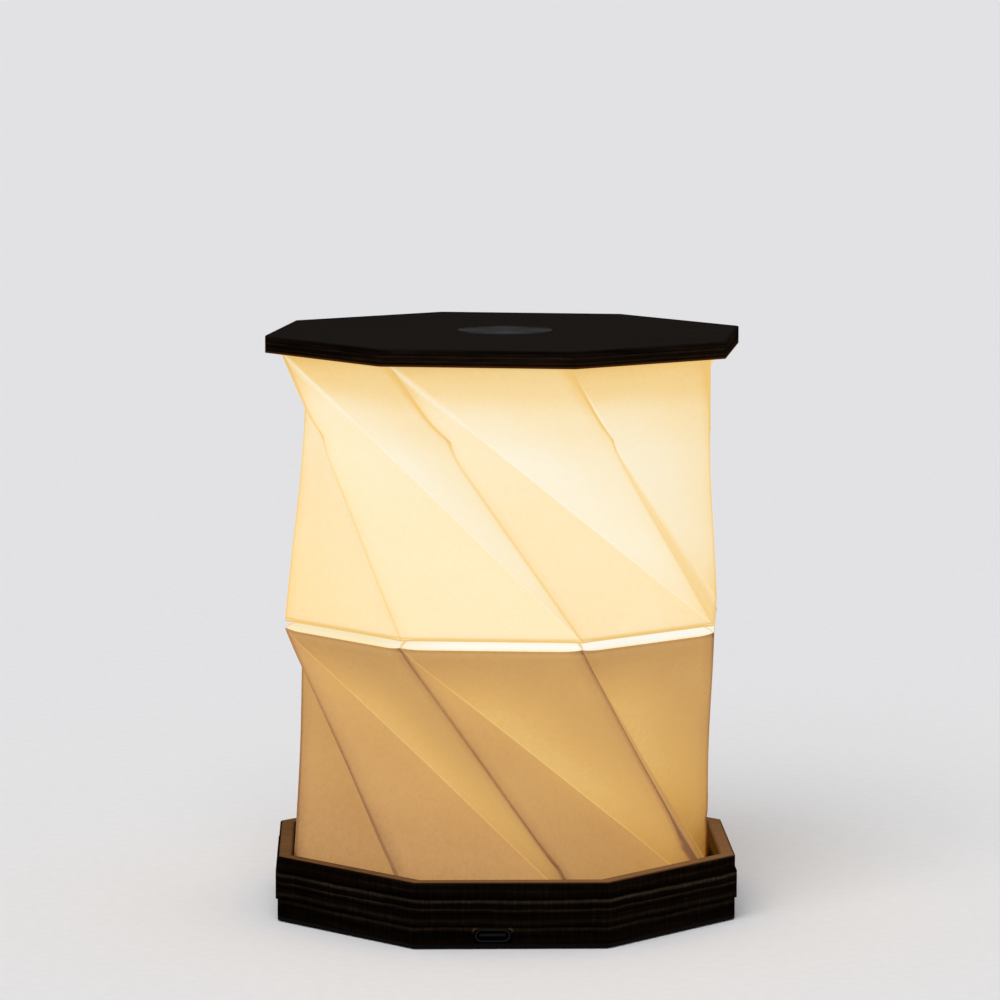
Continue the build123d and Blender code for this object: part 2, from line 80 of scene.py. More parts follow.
def screen(red: int, green: int, blue: int) -> Rgba:
    """Turns a colour as seen on a screen into the linear colour a shader takes.

    Args:
        red: Red, 0 to 255.
        green: Green, 0 to 255.
        blue: Blue, 0 to 255.

    Returns:
        The linear colour with an alpha of 1.
    """
    linear = [
        c / 12.92 if c <= 0.04045 else ((c + 0.055) / 1.055) ** 2.4
        for c in (red / 255, green / 255, blue / 255)
    ]
    return (linear[0], linear[1], linear[2], 1.0)


def stops(*rows: Tuple[float, int, int, int]) -> Stops:
    """Lists a ramp's stops from rows of place, red, green and blue as on a screen."""
    return tuple((place, screen(red, green, blue)) for place, red, green, blue in rows)


def grey(level: float) -> Rgba:
    """Returns a grey of a linear level."""
    return (level, level, level, 1.0)


def scaled(colour: Rgba, factor: float, lift: float = 0.0) -> Rgba:
    """Scales a linear colour and lifts it, and holds it at 1."""
    red, green, blue = (min(1.0, c * factor + lift) for c in colour[:3])
    return (red, green, blue, 1.0)


def octagon_radius(across_flats: float) -> float:
    """Returns the corner radius of an octagon from its size across flats."""
    return across_flats / 2 / math.cos(math.pi / SIDES)


def corner_place(radius: float, index: int, turn: float, height: float) -> Vector:
    """Finds one corner of an octagon round the lamp's axis.

    Args:
        radius: Radius of the corners, in metres.
        index: Number of the corner, counted counter-clockwise from the right.
        turn: How far the octagon is turned, in degrees.
        height: Height above the table, in metres.

    Returns:
        The corner, in metres.
    """
    angle = math.radians(turn) + SIDE_ANGLE * (index + 0.5)
    return Vector((radius * math.cos(angle), radius * math.sin(angle), height))


class Workbench:
    """Small helpers for shaping a mesh with the usual tools."""

    @staticmethod
    def clear() -> None:
        """Deselects every object."""
        if bpy.context.mode != "OBJECT":
            bpy.ops.object.mode_set(mode="OBJECT")
        bpy.ops.object.select_all(action="DESELECT")

    @staticmethod
    def take(piece: Piece) -> None:
        """Selects one piece, makes it active and deselects the rest.

        Args:
            piece: The piece to work on.
        """
        Workbench.clear()
        bpy.context.view_layer.objects.active = piece
        piece.select_set(True)

    @staticmethod
    def name(name: str) -> Piece:
        """Names the object that was just added, and its mesh.

        Args:
            name: The piece's name.

        Returns:
            The named object.
        """
        piece = bpy.context.object
        piece.name = name
        piece.data.name = name
        return piece

    @staticmethod
    @contextmanager
    def editing(piece: Piece, mode: str = "VERT") -> Iterator[None]:
        """Opens a piece in edit mode with nothing selected, and closes it again.

        Args:
            piece: The piece to edit.
            mode: What is selected: VERT, EDGE or FACE.
        """
        Workbench.take(piece)
        bpy.ops.object.mode_set(mode="EDIT")
        bpy.ops.mesh.select_mode(type=mode)
        bpy.ops.mesh.select_all(action="DESELECT")
        try:
            yield
        finally:
            bpy.ops.object.mode_set(mode="OBJECT")

    @staticmethod
    def pick_points(piece: Piece, places: Iterable[Vector]) -> None:
        """Selects the vertices nearest to some places, and nothing else.

        Args:
            piece: The piece being edited.
            places: Places on the piece, in metres.
        """
        bpy.ops.mesh.select_all(action="DESELECT")
        mesh = bmesh.from_edit_mesh(piece.data)
        for place in places:
            min(mesh.verts, key=lambda v: (v.co - place).length).select = True
        mesh.select_flush_mode()
        bmesh.update_edit_mesh(piece.data)

    @staticmethod
    def pick(piece: Piece, kind: str, wanted: Callable[[object], bool]) -> None:
        """Selects the elements that pass a test, and nothing else.

        Args:
            piece: The piece being edited.
            kind: Which elements to test: verts, edges or faces.
            wanted: The test on a vertex, edge or face.
        """
        bpy.ops.mesh.select_all(action="DESELECT")
        mesh = bmesh.from_edit_mesh(piece.data)
        for element in getattr(mesh, kind):
            if wanted(element):
                element.select_set(True)
        bmesh.update_edit_mesh(piece.data)

    @staticmethod
    def drag(reach: float, falloff: str = "SHARP") -> Dict[str, object]:
        """Lists the settings with which a move drags nearby points along.

        Args:
            reach: How far away points still come along, in metres, or none.
            falloff: How the drag fades with the distance.

        Returns:
            The operator's settings.
        """
        if not reach:
            return {}
        return {"use_proportional_edit": True, "proportional_edit_falloff": falloff,
                "proportional_size": reach}

    @staticmethod
    def turn(degrees: float, reach: float = 0.0) -> None:
        """Turns what is selected counter-clockwise about the lamp's axis."""
        bpy.ops.transform.rotate(
            value=-math.radians(degrees), orient_axis="Z", center_override=(0.0, 0.0, 0.0),
            **Workbench.drag(reach)
        )

    @staticmethod
    def widen(factor: float, reach: float = 0.0, falloff: str = "SHARP") -> None:
        """Scales what is selected away from the lamp's axis."""
        bpy.ops.transform.resize(value=(factor, factor, 1.0), center_override=(0.0, 0.0, 0.0),
                                 **Workbench.drag(reach, falloff))

    @staticmethod
    def lift(height: float, reach: float = 0.0) -> None:
        """Moves what is selected up by a height in metres."""
        bpy.ops.transform.translate(value=(0.0, 0.0, height), **Workbench.drag(reach))

    @staticmethod
    def modify(piece: Piece, kind: str, **settings: object) -> None:
        """Adds a modifier and applies it.

        Args:
            piece: The piece to finish.
            kind: Type of the modifier.
            **settings: Values for the modifier's properties.
        """
        Workbench.take(piece)
        modifier = piece.modifiers.new(kind.lower(), kind)
        for key, value in settings.items():
            setattr(modifier, key, value)
        bpy.ops.object.modifier_apply(modifier=modifier.name)

    @staticmethod
    def settle(piece: Piece) -> None:
        """Puts a piece's place into its mesh, so that the object sits at the origin."""
        Workbench.take(piece)
        bpy.ops.object.transform_apply(location=True, rotation=True, scale=True)

    @staticmethod
    def shade(piece: Piece, angle: float) -> None:
        """Shades a piece smooth up to an angle in degrees."""
        Workbench.take(piece)
        bpy.ops.object.shade_smooth_by_angle(angle=math.radians(angle))


class Wiring:
    """Adds and links the nodes of one material or group."""

    def __init__(self, tree: Tree) -> None:
        """Starts on an empty tree.

        Args:
            tree: The node tree to fill.
        """
        self.tree = tree
        tree.nodes.clear()

    def add(self, kind: str, **settings: object) -> Node:
        """Adds a node and sets its properties.

        Args:
            kind: Blender's name for the node, without ShaderNode.
            **settings: Values for the node's properties.

        Returns:
            The new node.
        """
        label = kind if kind.startswith("NodeGroup") else "ShaderNode" + kind
        node = self.tree.nodes.new(label)
        for key, value in settings.items():
            setattr(node, key, value)
        return node

    def set(self, node: Node, **values: object) -> Node:
        """Feeds a node's inputs.

        Args:
            node: The node.
            **values: Its inputs, with underscores for spaces.

        Returns:
            The same node.
        """
        for key, value in values.items():
            self.feed(node.inputs[key.replace("_", " ")], value)
        return node

    def feed(self, socket: Socket, value: object) -> None:
        """Links a socket, or sets its value.

        Args:
            socket: The input.
            value: Another node's output, a number or a colour.
        """
        if isinstance(value, Socket):
            self.tree.links.new(value, socket)
        else:
            socket.default_value = value

    def fed(self, node: Node, *values: object) -> Socket:
        """Feeds a node's inputs in their order.

        Args:
            node: The node.
            *values: Outputs of other nodes, numbers or colours.

        Returns:
            The node's first output.
        """
        for socket, value in zip(node.inputs, values):
            self.feed(socket, value)
        return node.outputs[0]

    def math(self, operation: str, *values: object, clamp: bool = False) -> Socket:
        """Adds a math node.

        Args:
            operation: Blender's name for the operation.
            *values: Its inputs, as outputs of other nodes or numbers.
            clamp: Whether the result stays between 0 and 1.

        Returns:
            The result.
        """
        return self.fed(self.add("Math", operation=operation, use_clamp=clamp), *values)

    def plus(self, first: object, second: object, clamp: bool = False) -> Socket:
        """Adds two values."""
        return self.math("ADD", first, second, clamp=clamp)

    def less(self, first: object, second: object, clamp: bool = False) -> Socket:
        """Takes the second value from the first."""
        return self.math("SUBTRACT", first, second, clamp=clamp)

    def times(self, first: object, second: object, clamp: bool = False) -> Socket:
        """Multiplies two values."""
        return self.math("MULTIPLY", first, second, clamp=clamp)

    def span(self, value: object, low: float, high: float, to_low: float = 0.0,
             to_high: float = 1.0, smooth: bool = True) -> Socket:
        """Maps a value from one range to another, and holds it at the ends.

        Args:
            value: The value.
            low: Start of the range.
            high: End of the range.
            to_low: Result at the start.
            to_high: Result at the end.
            smooth: Whether the change eases in and out.

        Returns:
            The mapped value.
        """
        node = self.add("MapRange", interpolation_type="SMOOTHSTEP" if smooth else "LINEAR")
        return self.fed(node, value, low, high, to_low, to_high)

    def mix(self, factor: object, first: object, second: object,
            blend: str = "MIX", clamp: bool = False) -> Socket:
        """Mixes two colours.

        Args:
            factor: Share of the second colour.
            first: First colour.
            second: Second colour.
            blend: How they are mixed.
            clamp: Whether the result stays between 0 and 1.

        Returns:
            The mixed colour.
        """
        node = self.add("MixRGB", blend_type=blend, use_clamp=clamp)
        return self.fed(node, factor, first, second)

    def ramp(self, value: object, marks: Sequence[Tuple[float, Sequence[float]]],
             easing: str = "LINEAR") -> Socket:
        """Turns a value into a colour.

        Args:
            value: The value, 0 to 1.
            marks: Places and colours, from low to high.
            easing: How colours change between the marks.

        Returns:
            The colour.
        """
        node = self.add("ValToRGB")
        node.color_ramp.interpolation = easing
        elements = node.color_ramp.elements
        while len(elements) < len(marks):
            elements.new(0.5)
        for element, (place, colour) in zip(elements, marks):
            element.position = place
            element.color = colour
        return self.fed(node, value)

    def noise(self, vector: object, scale: float, detail: float = 3.0,
              roughness: float = 0.5) -> Socket:
        """Adds a noise and returns its value."""
        node = self.set(self.add("TexNoise"), Vector=vector, Scale=scale, Detail=detail,
                        Roughness=roughness)
        return node.outputs["Fac"]

    def stretched(self, vector: object, factors: Point) -> Socket:
        """Scales a place by three factors and returns it."""
        return self.fed(self.add("VectorMath", operation="MULTIPLY"), vector, factors)

    def split(self, vector: object) -> Tuple[Socket, ...]:
        """Splits a vector into its three numbers."""
        return tuple(self.set(self.add("SeparateXYZ"), Vector=vector).outputs)

    def group(self, tree: Tree, **values: object) -> Node:
        """Places an effect group.

        Args:
            tree: The effect.
            **values: Its inputs, with underscores for spaces.

        Returns:
            The group node.
        """
        return self.set(self.add("Group", node_tree=tree), **values)


class Effects:
    """The effects that several finishes share, each built once."""

    def __init__(self) -> None:
        """Builds every effect."""
        self.reach = self._octagon_reach()
        self.grain = self._veneer_grain()
        self.speckle = self._fine_speckle()
        self.fibres = self._paper_fibres()
        self.rub = self._rubbed_spots()

    @staticmethod
    def _start(name: str, results: Sequence[str],
               **numbers: float) -> Tuple[Wiring, Node, Socket, Node]:
        """Opens a group that takes a place and some numbers, and gives other numbers.

        Args:
            name: Name of the effect.
            results: Name of each output.
            **numbers: Each further input, with its default.

        Returns:
            The wiring, the group's input node, the place and the group's output node.
        """
        tree = bpy.data.node_groups.new(name, "ShaderNodeTree")
        wiring = Wiring(tree)
        tree.interface.new_socket("Vector", in_out="INPUT", socket_type="NodeSocketVector")
        for label, default in numbers.items():
            socket = tree.interface.new_socket(
                label, in_out="INPUT", socket_type="NodeSocketFloat")
            socket.default_value = default
        for label in results:
            tree.interface.new_socket(label, in_out="OUTPUT", socket_type="NodeSocketFloat")
        given = wiring.add("NodeGroupInput")
        return wiring, given, given.outputs["Vector"], wiring.add("NodeGroupOutput")

    def _octagon_reach(self) -> Tree:
        """Builds the distance from the axis, measured square to the octagon's sides, in metres.

        Returns:
            The effect.
        """
        w, given, place, result = self._start("octagon_reach", ("Reach", "Along"), Turn=0.0)
        rotate = w.set(w.add("VectorRotate", rotation_type="Z_AXIS"), Vector=place,
                       Angle=w.times(given.outputs["Turn"], -1.0))
        x, y, _ = w.split(rotate.outputs[0])
        half = math.sqrt(0.5)
        reach = w.math("MAXIMUM", w.math("ABSOLUTE", x), w.math("ABSOLUTE", y))
        total = w.times(w.plus(x, y), half)
        gap = w.times(w.less(x, y), half)
        slant = w.math("MAXIMUM", w.math("ABSOLUTE", total), w.math("ABSOLUTE", gap))
        w.set(result, Reach=w.math("MAXIMUM", reach, slant),
              Along=w.math("PINGPONG", w.math("ARCTAN2", y, x), SIDE_ANGLE / 2))
        return w.tree

    def _veneer_grain(self) -> Tree:
        """Builds straight veneer grain that runs along X, with pores.

        Returns:
            The effect.
        """
        w, given, place, result = self._start("veneer_grain", ("Grain", "Pores"), Contrast=1.0)
        # Streaks to the metre, along the grain and across it.
        fine, broad, pore = (22.0, 700.0, 700.0), (9.0, 130.0, 130.0), (160.0, 2600.0, 2600.0)
        bands = w.noise(w.stretched(place, fine), 1.0, 5.0, 0.6)
        wide = w.noise(w.stretched(place, broad), 1.0, 2.0)
        both = w.plus(w.times(bands, 0.65), w.times(wide, 0.35))
        centred = w.times(w.less(both, 0.5), given.outputs["Contrast"])
        pores = w.noise(w.stretched(place, pore), 1.0, 1.0)
        w.set(result, Grain=w.plus(centred, 0.5, clamp=True), Pores=w.span(pores, 0.60, 0.72))
        return w.tree

    def _fine_speckle(self) -> Tree:
        """Builds the fine unevenness of moulded, coated and cast surfaces, by size in millimetres.

        Returns:
            The effect.
        """
        w, given, place, result = self._start("fine_speckle", ("Fine", "Cloud"), Size=0.4)
        size = w.math("DIVIDE", 1000.0, given.outputs["Size"])
        grains = w.set(w.add("VectorMath", operation="SCALE"), Vector=place, Scale=size)
        w.set(result, Fine=w.noise(grains.outputs[0], 1.0, 2.0),
              Cloud=w.noise(grains.outputs[0], 0.11, 3.0))
        return w.tree

    def _paper_fibres(self) -> Tree:
        """Builds the cloudy look-through and the short fibres of paper.

        Returns:
            The effect.
        """
        w, _, place, result = self._start("paper_fibres", ("Cloud", "Fibre"))
        cloud = w.noise(place, 520.0, 4.0, 0.68)
        broad = w.noise(place, 60.0, 2.0)
        both = w.plus(w.times(cloud, 0.72), w.times(broad, 0.28))
        warp = w.set(w.add("TexNoise"), Vector=place, Scale=350.0)
        bend = 0.0016
        bent = w.fed(w.add("VectorMath", operation="ADD"), w.stretched(place, (1.0, 1.0, 0.35)),
                     w.stretched(warp.outputs["Color"], (bend, bend, bend)))
        strands = w.set(w.add("TexVoronoi", feature="DISTANCE_TO_EDGE"), Vector=bent, Scale=900.0)
        w.set(result, Cloud=both, Fibre=w.span(strands.outputs[0], 0.0, 0.12, 1.0, 0.0))
        return w.tree

    def _rubbed_spots(self) -> Tree:
        """Builds sparse soft spots where handling has dulled a surface.

        Returns:
            The effect.
        """
        w, given, place, result = self._start("rubbed_spots", ("Rub",), Amount=0.5)
        low = w.noise(place, 34.0, 2.0)
        fine = w.noise(place, 420.0, 3.0)
        both = w.times(w.span(low, 0.45, 0.7), w.span(fine, 0.35, 0.7))
        w.set(result, Rub=w.times(both, given.outputs["Amount"], clamp=True))
        return w.tree


@dataclass(frozen=True)
class Finish:
    """A finish with even shine. The other finishes add their own pattern to it."""

    name: str
    colour: Rgba
    roughness: float = 0.5
    metallic: float = 0.0
    specular: float = 0.5
    speckle: float = 0.4
    bump: float = 0.05

    def make(self, effects: Effects) -> bpy.types.Material:
        """Builds the material.

        Args:
            effects: The shared effects.

        Returns:
            The material.
        """
        material = bpy.data.materials.new(self.name)
        material.use_nodes = True
        w = Wiring(material.node_tree)
        shader = w.add("BsdfPrincipled")
        output = w.add("OutputMaterial")
        w.set(output, Surface=shader.outputs["BSDF"])
        w.set(shader, Metallic=self.metallic, Specular_IOR_Level=self.specular,
              Roughness=self.roughness)
        place = w.add("TexCoord").outputs["Object"]
        self.dress(w, shader, place, effects)
        return material

    def dress(self, w: Wiring, shader: Node, place: Socket, effects: Effects) -> None:
        """Wires the pattern into the shader.

        Args:
            w: The material's wiring.
            shader: The Principled shader.
            place: Object coordinates.
            effects: The shared effects.
        """
        spots = w.group(effects.speckle, Vector=place, Size=self.speckle)
        rub = w.group(effects.rub, Vector=place, Amount=0.35)
        dull = w.mix(1.0, self.colour, w.ramp(spots.outputs["Cloud"], [
            (0.3, grey(0.86)), (0.7, grey(1.08))]), "MULTIPLY")
        pale = scaled(self.colour, 1.25, 0.012)
        uneven = 0.12
        rough = w.plus(self.roughness - uneven / 2,
                       w.times(spots.outputs["Fine"], uneven), clamp=True)
        w.set(shader, Base_Color=w.mix(rub.outputs["Rub"], dull, pale), Roughness=rough)
        self.press(w, shader, spots.outputs["Fine"], self.bump)

    @staticmethod
    def press(w: Wiring, shader: Node, height: object, strength: float,
              distance: float = 0.0002) -> None:
        """Turns a height into relief.

        Args:
            w: The material's wiring.
            shader: The Principled shader.
            height: The height, 0 to 1.
            strength: How much of the relief shows.
            distance: Depth of the relief, in metres.
        """
        bump = w.set(w.add("Bump"), Strength=strength, Distance=distance, Height=height)
        w.set(shader, Normal=bump.outputs[0])


@dataclass(frozen=True)
class GlowingPaper(Finish):
    """Translucent paper lit from inside: brighter along valley folds, dull on narrow panels."""

    low: float = 0.0
    high: float = 0.1
    rise: Tuple[Tuple[float, float], ...] = ((0.0, 0.5), (1.0, 0.5))
    shades: Stops = ()
    valley_glow: float = 0.3
    valley_reach: float = 0.022
    panel_drop: float = 0.12
    panel_lift: float = 0.2
    ridge_line: float = 0.35
    ridge_reach: float = 0.0012
    ridge_shade: float = 0.08
    shade_reach: float = 0.006
    ridge_shadow: float = 0.3
    ridge_shadow_reach: float = 0.05
    cloudy: float = 0.3
    amber: Rgba = (1.0, 1.0, 1.0, 1.0)
    valley_line: float = 0.2
    sideways: float = 0.0
    foot_line: float = 0.0
    foot_band: float = 0.0010
    head_line: float = 0.0
    head_band: float = 0.0008
    hem: float = 0.0002
    head_crease: float = 0.0
    head_valley: float = 0.0
    edge_dim: float = 0.0
    edge_near: float = 0.034
    edge_far: float = 0.058
    fibre_dark: float = 0.03

    def dress(self, w: Wiring, shader: Node, place: Socket, effects: Effects) -> None:
        """Wires the glow of the storey into the shader.

        Args:
            w: The material's wiring.
            shader: The Principled shader.
            place: Object coordinates.
            effects: The shared effects.
        """
        x, _, z = w.split(place)
        share = w.span(z, self.low, self.high, smooth=False)
        bright = self.fold_light(w, x, share)
        # Painted shade: the paper dims towards its left and right sides.
        bright = w.less(bright, w.span(w.math("ABSOLUTE", x), self.edge_near, self.edge_far,
                                       0.0, self.edge_dim))
        foot, head = self.low + self.hem, self.high - self.hem
        bright = w.plus(bright, w.span(z, foot, foot + self.foot_band, self.foot_line, 0.0))
        bright = w.plus(bright, w.span(z, head - self.head_band, head, 0.0, self.head_line))
        paper = w.group(effects.fibres, Vector=place)
        cloud, fibre = paper.outputs["Cloud"], paper.outputs["Fibre"]
        bright = w.plus(bright, w.times(w.less(cloud, 0.5), self.cloudy))
        bright = w.less(bright, w.times(fibre, self.fibre_dark), clamp=True)
        seen = w.ramp(bright, self.shades)
        # The light warms towards the storey's low right corner.
        corner = w.times(w.span(x, 0.005, 0.055), w.span(share, 0.75, 0.05))
        seen = w.mix(corner, seen, w.mix(1.0, seen, self.amber, "MULTIPLY"))
        # The room's light on the paper comes off the glow, so that both add up to what is seen.
        own = w.mix(cloud, scaled(self.colour, 0.94), scaled(self.colour, 1.06))
        w.set(shader, Base_Color=own, Emission_Strength=1.0,
              Emission_Color=w.mix(1.0, seen, own, "SUBTRACT", clamp=True),
              Roughness=w.plus(self.roughness, w.times(fibre, 0.12)))
        self.press(w, shader, cloud, 0.12, 0.0001)

    def fold_light(self, w: Wiring, x: Socket, share: Socket) -> Socket:
        """Wires the brightness that the height, the folds and the panels give.

        Args:
            w: The material's wiring.
            x: Place to the right, in metres.
            share: Height, as a share of the storey.

        Returns:
            The brightness, 0 to 1 within the paper's shades.
        """
        u, v, _ = w.split(w.add("UVMap", uv_map="folds").outputs[0])
        panel, shadowed_panels, _ = w.split(w.add("UVMap", uv_map="tone_and_light").outputs[0])
        ridge = w.times(u, FOLD_SCALE)
        signed = w.times(w.less(v, 0.5), FOLD_SCALE)
        valley = w.math("ABSOLUTE", signed)
        seam = 0.00005
        wide = w.span(signed, -seam, seam, smooth=False)
        narrow = w.less(1.0, wide)
        light = w.ramp(share, [(place, grey(level)) for place, level in self.rise], "EASE")
        # Wide-topped panels catch more light beside a valley, away from the storey's ends.
        middle = w.times(w.span(share, 0.02, 0.35), w.span(share, 0.98, 0.72))
        beside = w.times(w.span(valley, 0.0, self.valley_reach, 1.0, 0.0), wide)
        bright = w.plus(light, w.times(w.times(beside, middle), self.valley_glow))
        # Narrow-topped panels have a level of their own and brighten towards their head.
        drop = w.times(narrow, w.span(valley, 0.0, 0.006, 0.35, 1.0))
        bright = w.less(bright, w.times(drop, self.panel_drop))
        bright = w.plus(bright, w.times(narrow, w.span(share, 0.55, 0.9, 0.0, self.panel_lift)))
        # Ridges are dark lines in a soft shade.
        crease = w.plus(w.span(ridge, 0.0, self.ridge_reach, self.ridge_line, 0.0),
                        w.span(ridge, 0.0, self.shade_reach, self.ridge_shade, 0.0))
        bright = w.less(bright, w.times(crease, w.span(
            share, 0.6, 0.95, 1.0, 1.0 + self.head_crease)))
        # Valleys are fine bright lines, which may widen near the head. A panel under the painted
        # ridge shadow shows its line only at the foot.
        line = w.plus(w.span(valley, 0.0001, 0.0004, self.valley_line, 0.0),
                      w.times(w.span(valley, 0.0003, 0.0016, self.head_valley, 0.0),
                              w.span(share, 0.7, 0.95)))
        shown = w.less(1.0, w.times(shadowed_panels, w.span(share, 0.08, 0.25)))
        bright = w.plus(bright, w.times(line, shown))
        # Painted light: the paper brightens towards the right, and each panel adds its own tone and
        # painted light level.
        bright = w.plus(bright, w.times(x, self.sideways))
        bright = w.plus(bright, w.less(panel, 0.5))
        # Painted shadow of the fold above: a dull wedge along the ridge of the shadowed
        # narrow-topped panels, broad at the foot and thin above.
        width = w.span(share, 0.0, 0.7, self.ridge_shadow_reach, 0.003, smooth=False)
        dull = w.span(w.math("DIVIDE", ridge, width), 0.3, 1.0, self.ridge_shadow, 0.0)
        return w.less(bright, w.times(w.times(dull, narrow), shadowed_panels))


@dataclass(frozen=True)
class PleatPaper(Finish):
    """The pleat between the storeys: paper that the light meets from above, nearly white."""

    low: float = WAIST_LOW_Z
    high: float = WAIST_TOP_Z
    turn: float = MIDDLE_TURN

    def dress(self, w: Wiring, shader: Node, place: Socket, effects: Effects) -> None:
        """Wires the pleat's glow into the shader.

        Args:
            w: The material's wiring.
            shader: The Principled shader.
            place: Object coordinates.
            effects: The shared effects.
        """
        x, _, z = w.split(place)
        share = w.span(z, self.low, self.high, smooth=False)
        paper = w.group(effects.fibres, Vector=place)
        bright = w.plus(share, w.times(w.less(paper.outputs["Cloud"], 0.5), 0.3), clamp=True)
        octagon = w.group(effects.reach, Vector=place, Turn=math.radians(self.turn))
        corner = w.span(octagon.outputs["Along"], SIDE_ANGLE / 2 - 0.012, SIDE_ANGLE / 2)
        seen = w.ramp(bright, stops(
            (0.0, 252, 226, 170), (0.16, 254, 246, 222), (0.55, 254, 252, 244),
            (0.86, 254, 247, 226), (1.0, 246, 218, 160)))
        # Painted shade: the pleat turns darker and yellower towards the left, and darker at its
        # corners.
        seen = w.mix(w.span(x, -0.012, -0.04, 0.0, 0.7), seen, screen(247, 226, 168))
        seen = w.mix(w.times(corner, 0.8), seen, screen(240, 200, 124))
        own = w.mix(paper.outputs["Cloud"], scaled(self.colour, 0.94), self.colour)
        w.set(shader, Base_Color=own, Emission_Strength=1.0,
              Emission_Color=w.mix(1.0, seen, self.colour, "SUBTRACT"))
        self.press(w, shader, paper.outputs["Fibre"], 0.2, 0.0001)


